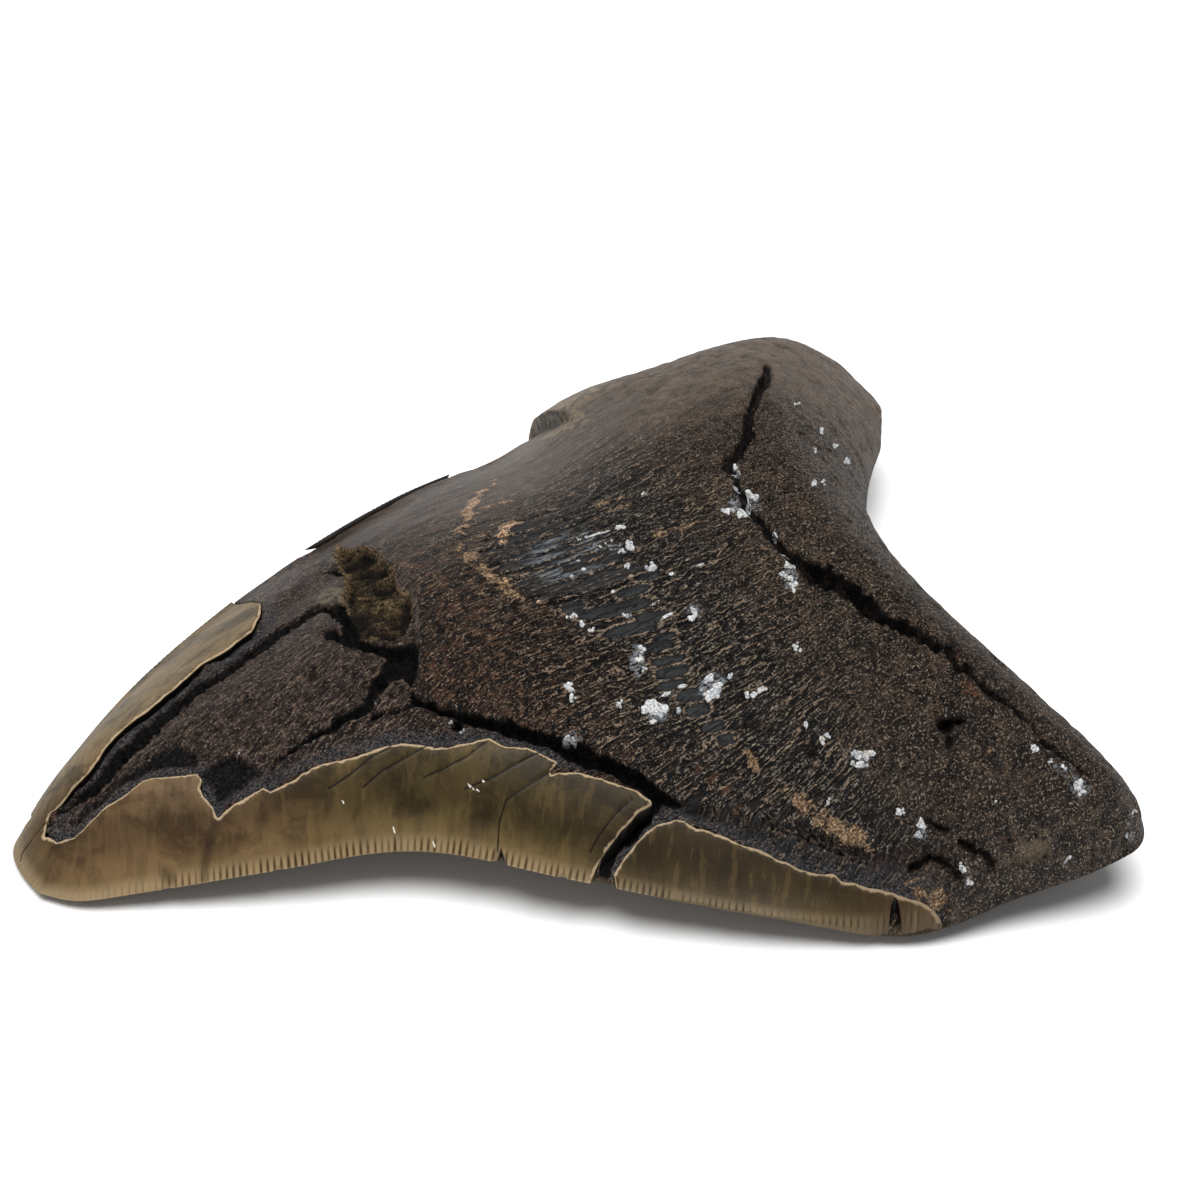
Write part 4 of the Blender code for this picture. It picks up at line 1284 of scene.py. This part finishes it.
def slab_tone(s):
    """The bare slab: brown, with dark grain, pale fibres and pale specks that are partly grains and partly
    painted glints.
    """
    slab = s.tones(s.mottles, 0.42, 0.6, (60, 48, 43), (104, 86, 76))
    slab = s.layer(slab, (14, 11, 10), s.band(s.grains, 0.48, 0.43), 0.85, s.keep)
    slab = s.layer(slab, (12, 10, 10), s.band(s.threads, 0.49, 0.45), 0.85, s.keep)
    fibres = s.times(s.band(s.threads, 0.56, 0.6), s.band(s.grit, 0.46, 0.54))
    slab = s.layer(slab, (170, 146, 128), fibres, 0.6, s.keep)
    # pale specks: partly pale grains, partly painted glints
    return s.layer(slab, (190, 170, 152), s.band(s.grit, 0.62, 0.66), 0.8, s.keep)


def bone_tone(s):
    """The root: brown and porous, with pale specks that are partly grains and partly painted glints."""
    bone = s.tones(s.mottles, 0.4, 0.62, (46, 38, 33), (100, 82, 68))
    bone = s.layer(bone, (14, 11, 10), s.band(s.threads, 0.47, 0.43), 0.7, s.keep)
    bone = s.layer(bone, (8, 7, 6), s.band(s.grains, 0.5, 0.45), 0.95, s.keep)
    # pale specks: partly pale grains, partly painted glints
    return s.layer(bone, (186, 166, 144), s.band(s.grit, 0.58, 0.62), 0.9, s.keep)


def paint_lines_and_stains(s, base):
    """The far slope's painted light, the dome's painted shade, the growth lines with painted groove shade
    and painted lit sides, rust and pale stains.
    """
    # painted light: the far slope painted lighter and even
    far_slope_painted_light = s.tones(s.mottles, 0.3, 0.75, (92, 82, 73), (116, 103, 91))
    base = s.layer(base, far_slope_painted_light, s.value("calm"), 0.6)
    # painted shade on the dome's far top
    base = s.layer(base, (22, 18, 16), s.value("shade"), 0.5)
    # painted shade in the growth lines' grooves, then a painted highlight on their lit sides
    base = s.layer(base, (5, 4, 4), s.dark_side, 0.97, s.lined)
    lit_side_share = s.times(s.lined, s.band(s.grit, 0.42, 0.54))
    base = s.layer(base, (190, 164, 138), s.pale_side, 0.9, lit_side_share)
    rust, stain = s.band(s.value("rust"), -0.15, 0.2), s.band(s.value("stain"), -0.6, 0.6)
    base = s.layer(base, (128, 80, 54), rust, 0.55, s.band(s.grains, 0.42, 0.52))
    return s.layer(base, (134, 119, 96), stain, 0.75, s.band(s.mottles, 0.42, 0.54))


def paint_bruises(s, base):
    """Grey dentine beside the enamel's broken edges, and the black granular strips."""
    halo = s.times(s.band(s.value("gap_to_enamel"), 2.4, 0.3), s.band(s.value("bare"), -0.3, 0.3))
    grey = s.tones(s.grit, 0.44, 0.56, (40, 41, 44), (112, 112, 114))
    base = s.layer(base, grey, halo, 0.75, s.band(s.value("depth"), 0.5, 0.1))
    granular = s.tones(s.grit, 0.54, 0.62, (5, 5, 7), (58, 58, 64))
    return s.layer(base, granular, s.value("granular"), 0.92)


def paint_slate(s, base):
    """The slate skin with a painted sheen, painted groove shade and painted lit sides, and its cracks; and
    the slate scales with their pale borders.
    """
    slate = s.tones(s.mottles, 0.4, 0.6, (15, 16, 17), (32, 33, 34))
    sheen = s.times(s.band(s.value("sheen"), -1.2, 1.4), s.band(s.strands, 0.44, 0.58))
    # painted sheen: a pale blue-grey highlight laid on the slate as colour
    lit = s.layer(slate, (100, 107, 113), sheen, 0.8)
    lit = s.layer(lit, (6, 6, 7), s.band(s.threads, 0.47, 0.42), 0.8)
    # painted groove shade and painted lit sides on the slate too
    lit = s.layer(lit, (4, 4, 4), s.dark_side, 0.95)
    lit = s.layer(lit, (150, 128, 106), s.pale_side, 0.8, s.band(s.threads, 0.5, 0.58))
    base = s.layer(base, lit, s.band(s.skin_edge, -0.3, 0.5), 0.92)
    crack = s.plus(s.value("skin_crack"), s.spread(s.threads, -0.3, 0.3))
    base = s.layer(base, (160, 138, 116), s.band(crack, 0.5, 0.34), 0.7, s.band(s.grains, 0.52, 0.6))
    base = s.layer(base, (4, 4, 4), s.band(crack, 0.32, 0.2))
    scales = s.value("scales")
    border = s.times(s.band(scales, -0.28, -0.14), s.band(scales, 0.06, -0.02))
    base = s.layer(base, (176, 156, 134), border, 0.95, s.band(s.threads, 0.5, 0.56))
    return s.layer(base, slate, s.band(s.plus(scales, s.spread(s.grains, -0.3, 0.3)), -0.06, 0.06))


def paint_mineral(s, base):
    """The tan ring and streaks with their haze, the frost around the crusts and the sand in the hollow."""
    tan, sand = s.value("tan"), s.value("sand")
    haze = s.band(s.plus(tan, s.spread(s.mottles, -2.6, 1.6)), -0.9, 0.6)
    base = s.layer(base, (120, 100, 82), haze, 0.5, s.band(s.grains, 0.44, 0.56))
    ragged = s.plus(tan, s.spread(s.grains, -1.5, 1.25), s.spread(s.mottles, -2.8, 2.5))
    tan_tone = s.tones(s.grit, 0.44, 0.6, (120, 86, 60), (222, 190, 150))
    base = s.layer(base, tan_tone, s.band(ragged, -0.08, 0.16), 0.88)
    frost_edge = s.plus(s.value("frost"), s.spread(s.mottles, -2.2, 1.9))
    frost = s.tones(s.grains, 0.4, 0.6, (104, 108, 116), (196, 202, 208))
    base = s.layer(base, frost, s.band(frost_edge, -0.2, 0.6), 0.75, s.band(s.grains, 0.42, 0.54))
    sandy = s.tones(s.grains, 0.44, 0.54, (32, 25, 17), (138, 112, 78))
    sandy = s.layer(sandy, (192, 164, 120), s.band(s.grit, 0.52, 0.58))
    sand_border = s.band(s.plus(sand, s.spread(s.grains, -1.3, 1.3)), -0.1, 0.3)
    return s.layer(base, sandy, sand_border, s.band(s.value("depth"), 1.6, 1.0))


def paint_depths(s, base):
    """Painted shade inside cracks and pits, darker the deeper they are, and the enamel of the labial face.
    """
    # painted shade: near black deep inside cracks and pits, with pale grains on the root
    inside = s.mix(s.times(s.value("root"), s.band(s.grains, 0.53, 0.6)), (4, 3, 3), (56, 44, 36))
    base = s.layer(base, inside, s.band(s.value("depth"), 0.1, 0.7), 0.97)
    enamel = s.tones(s.clouds, 0.35, 0.65, (64, 53, 36), (96, 81, 56))
    enamel = s.layer(enamel, (40, 32, 21), s.band(s.strands, 0.5, 0.3), 0.35)
    return s.layer(base, enamel, s.under)


def dentine_roughness(s):
    rough = s.blend(s.value("root"), s.spread(s.threads, 0.3, 0.65), s.spread(s.grains, 0.35, 0.75))
    rough = s.blend(s.band(s.value("sand"), -0.1, 0.2), rough, 0.95)
    rough = s.blend(s.smoothness, rough, 0.5)
    return s.blend(s.under, rough, 0.3)


def dentine_bumps(s):
    """The grain's relief that is too fine for the mesh."""
    smoothed = s.times(s.keep, s.spread(s.math("MAXIMUM", s.smoothness, s.under), 1.0, 0.2))
    low = s.bump(s.plus(s.strands, s.times(s.mottles, 0.6)), smoothed, MM)
    fine = s.bump(s.plus(s.grains, s.threads, s.times(s.grit, 0.5)), smoothed, MM, low)
    ridged = s.bump(s.math("SUBTRACT", s.pale_side, s.dark_side), s.lined, 0.3 * MM, fine)
    return s.bump(s.band(s.value("scales"), -0.15, 0.15), 0.9, 0.1 * MM, ridged)


def enamel_material():
    """Glossy olive-brown enamel in soft clouds, with pale serrations and a pale broken edge."""
    s = Shader("fossil_enamel")
    add_enamel_noises(s)
    far_side = s.value("far_side")
    base = s.mix(far_side, near_enamel_tone(s), far_enamel_tone(s))
    base = s.layer(base, (30, 22, 13), s.band(s.specks, 0.6, 0.7), 0.35)
    base = paint_marks(s, paint_serrations(s, base))
    dull_ledge = s.times(s.band(s.ledge, 0.5, 0.15), 0.4)
    rough = s.plus(0.3, s.times(s.specks, 0.2), dull_ledge, s.times(far_side, 0.15))
    height = s.plus(s.times(s.streaks, 0.5), s.times(s.specks, 0.4))
    return s.finish(base, rough, s.bump(height, 0.4, 0.15 * MM), 0.17)


def add_enamel_noises(s):
    """Streaks in from the cutting edge and along it, clouds, specks and the ragged distance to a ledge."""
    edge, place = s.value("edge"), s.value("place")
    mm = s.millimetres()
    inwards = s.node("ShaderNodeCombineXYZ", {0: place, 1: s.times(edge, 0.3)}).outputs[0]
    s.streaks = s.noise(inwards, 0.8, 4, 0.6, 0.0, "2D")
    lengthwise = s.node("ShaderNodeCombineXYZ", {0: s.times(place, 0.1), 1: edge}).outputs[0]
    s.long_streaks = s.noise(lengthwise, 2.4, 4, 0.75, 0.0, "2D")
    s.clouds = s.noise(mm, 0.16, 5, 0.66, 0.5)
    s.specks = s.noise(mm, 3.2, 3, 0.65)
    s.ledge = s.plus(s.value("ledge"), s.spread(s.noise(mm, 0.7, 4, 0.7), -0.4, 0.4))
    # the plates' root end, which gets painted shade and fewer pale serrations
    s.root_end = s.band(s.value("along"), 54, 68)


def near_enamel_tone(s):
    """Warm brown at the tip and olive further on; painted shade at the root end and in a band beside the
    cutting edge, with a painted highlight along the edge itself.
    """
    edge, along = s.value("edge"), s.value("along")
    tip = s.tones(s.clouds, 0.38, 0.62, (70, 52, 34), (110, 87, 59))
    olive = s.tones(s.clouds, 0.38, 0.62, (45, 37, 19), (83, 70, 40))
    base = s.tones(along, 22, 44, tip, olive)
    # painted shade: a dark band 2 to 9 mm in from the cutting edge, in its hollow
    base = s.layer(base, (38, 28, 14), s.band(edge, 2.0, 4.0), s.band(edge, 9.0, 5.0), 0.45)
    # painted highlight along the cutting edge
    base = s.layer(base, (128, 106, 72), s.band(edge, 3.0, 0.6), 0.6)
    # painted shade at the plates' root end
    base = s.layer(base, (44, 35, 22), s.root_end, 0.7)
    base = s.layer(base, (44, 34, 22), s.band(along, 9, 1), 0.6)
    base = s.layer(base, (126, 102, 64), s.band(s.streaks, 0.54, 0.66), 0.16)
    return s.layer(base, (36, 27, 14), s.band(s.streaks, 0.46, 0.36), 0.22)


def far_enamel_tone(s):
    """The far strip, streaked along its length, and beyond it the far plate, painted near black as shade."""
    strip = s.tones(s.clouds, 0.38, 0.6, (64, 54, 36), (112, 94, 66))
    strip = s.layer(strip, (134, 117, 89), s.band(s.long_streaks, 0.48, 0.68), 0.35)
    strip = s.layer(strip, (42, 35, 25), s.band(s.long_streaks, 0.5, 0.32), 0.45)
    # painted shade: the far plate beyond the strip
    return s.layer(strip, (26, 22, 19), s.band(s.value("along"), 44, 47))


def paint_serrations(s, base):
    """Pale serrations along the near edge, with dark grooves between them."""
    edge = s.value("edge")
    grooves = s.times(s.value("groove"), s.band(edge, 1.4, 0.4))
    raised = s.math("SUBTRACT", 1.0, s.band(grooves, 0.0, 0.16))
    near_side = s.math("SUBTRACT", 1.0, s.value("far_side"))
    fewer = s.spread(s.root_end, 0.5, 0.28)
    base = s.layer(base, (166, 146, 114), raised, s.band(edge, 1.5, 0.3), near_side, fewer)
    return s.layer(base, (40, 29, 18), s.band(grooves, 0.12, 0.45), 0.7)


def paint_marks(s, base):
    """Darker streaks at the root end, painted shade along faint cracks, the pale broken ledge, cracks,
    scratches, and the dark part inside the body, which also puts painted shade on the ledge walls.
    """
    edge, along = s.value("edge"), s.value("along")
    # darker streaks on the root end's plate
    base = s.layer(base, (62, 44, 30), s.band(along, 86, 92), s.band(s.streaks, 0.35, 0.55), 0.6)
    # painted shade: a soft dark line along faint cracks
    base = s.layer(base, (34, 26, 18), s.band(s.value("smudge"), 0.9, 0.1), 0.5)
    dark = s.times(s.value("far_side"), s.math("MAXIMUM", s.band(edge, 10, 6), s.band(along, 40, 45)))
    faded = s.spread(s.math("MAXIMUM", dark, s.band(along, 60, 140)), 0.88, 0.0)
    base = s.layer(base, (176, 154, 124), s.band(s.ledge, 0.27, 0.08), faded)
    base = s.layer(base, (18, 14, 10), s.band(s.value("crack"), 0.15, 0.05), 0.85)
    base = s.layer(base, (226, 222, 208), s.band(s.value("scratch"), 0.12, 0.05))
    # dark inside the body, and painted shade on the ledge walls towards their foot
    return s.layer(base, (14, 11, 9), s.band(s.value("buried"), 0.03, 0.2))


def crust_material():
    """Chalky white mineral with blue-grey and ochre stains."""
    s = Shader("mineral_crust")
    mm = s.millimetres()
    grains = s.noise(mm, 3.4, 4, 0.68)
    stains = s.noise(mm, 0.5, 3, 0.6)
    base = s.tones(grains, 0.4, 0.56, (136, 137, 140), (218, 219, 218))
    base = s.layer(base, (136, 142, 152), s.band(stains, 0.52, 0.62), 0.5)
    base = s.layer(base, (160, 146, 122), s.band(stains, 0.42, 0.36), 0.4)
    return s.finish(base, 0.8, s.bump(grains, 0.9, 0.2 * MM), 0.3)


def floor_material():
    """White paper with a slight glow of its own, which softens the tooth's shadow."""
    s = Shader("studio_floor")
    texture = s.noise(s.millimetres(), 0.05, 2)
    s.set(s.surface.inputs["Emission Color"], colour(*FLOOR_COLOUR))
    s.set(s.surface.inputs["Emission Strength"], FLOOR_GLOW)
    return s.finish(colour(*FLOOR_COLOUR), s.spread(texture, 0.85, 0.95), s.bump(texture, 0.02, MM), 0.1)


# ------------------------------------------------------------------ the scene

def add_camera():
    back = Vector(camera_axes()[0])
    data = bpy.data.cameras.new("camera")
    data.lens, data.sensor_width = CAMERA_LENS, CAMERA_SENSOR
    data.clip_start, data.clip_end = 0.01, 20
    camera = bpy.data.objects.new("camera", data)
    camera.location = Vector(placed(CAMERA_TARGET)) + back * CAMERA_DISTANCE * MM
    camera.rotation_mode = "QUATERNION"
    camera.rotation_quaternion = (-back).to_track_quat("-Z", "Y")
    bpy.context.scene.collection.objects.link(camera)
    bpy.context.scene.camera = camera


def add_floor():
    bpy.ops.mesh.primitive_plane_add(size=FLOOR_SIZE)
    floor = bpy.context.object
    floor.name = "studio_floor"
    floor.data.materials.append(floor_material())


def add_sun(name, azimuth, elevation, strength, angle):
    """A wide, soft light from far away, so that the floor is lit evenly."""
    a, e = np.radians(azimuth), np.radians(elevation)
    towards = Vector((np.sin(a) * np.cos(e), -np.cos(a) * np.cos(e), np.sin(e)))
    data = bpy.data.lights.new(name, "SUN")
    data.energy, data.angle = strength, np.radians(angle)
    light = bpy.data.objects.new(name, data)
    light.rotation_mode = "QUATERNION"
    light.rotation_quaternion = (-towards).to_track_quat("-Z", "Y")
    bpy.context.scene.collection.objects.link(light)


def add_world():
    world = bpy.data.worlds.new("studio")
    world.use_nodes = True
    background = world.node_tree.nodes["Background"]
    background.inputs["Color"].default_value = (1, 1, 1, 1)
    background.inputs["Strength"].default_value = WORLD_STRENGTH
    bpy.context.scene.world = world


def dress(piece, material):
    """Give a piece its material, and tell the frame what it belongs to."""
    piece.data.materials.append(material)
    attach(piece, "root")
    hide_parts("tooth")


def tooth_body():
    """The dentine and the root, as one closed mesh."""
    rim = body_outline()
    lattice = hex_points(UNDER_PITCH, rim.min(0), rim.max(0))
    close = np.vstack([rim[::2] + inward(rim)[::2] * d for d in (0.3, 0.8)])
    under = np.vstack([within(rim, lattice, 0.7), within(rim, close, 0.2)])
    return solid_mesh("tooth_body", rim, body_seeds(rim), under, body_top, body_bottom)


def build():
    dress(tooth_body(), dentine_material())
    enamel = enamel_material()
    for name, (outer, ledge) in PLATES.items():
        dress(enamel_plate("enamel_" + name, outer, ledge), enamel)
    dress(crust_pieces(), crust_material())


build()
add_floor()
add_sun("soft_box", *SUN)
add_world()
add_camera()
bpy.context.scene.view_settings.view_transform = "Standard"
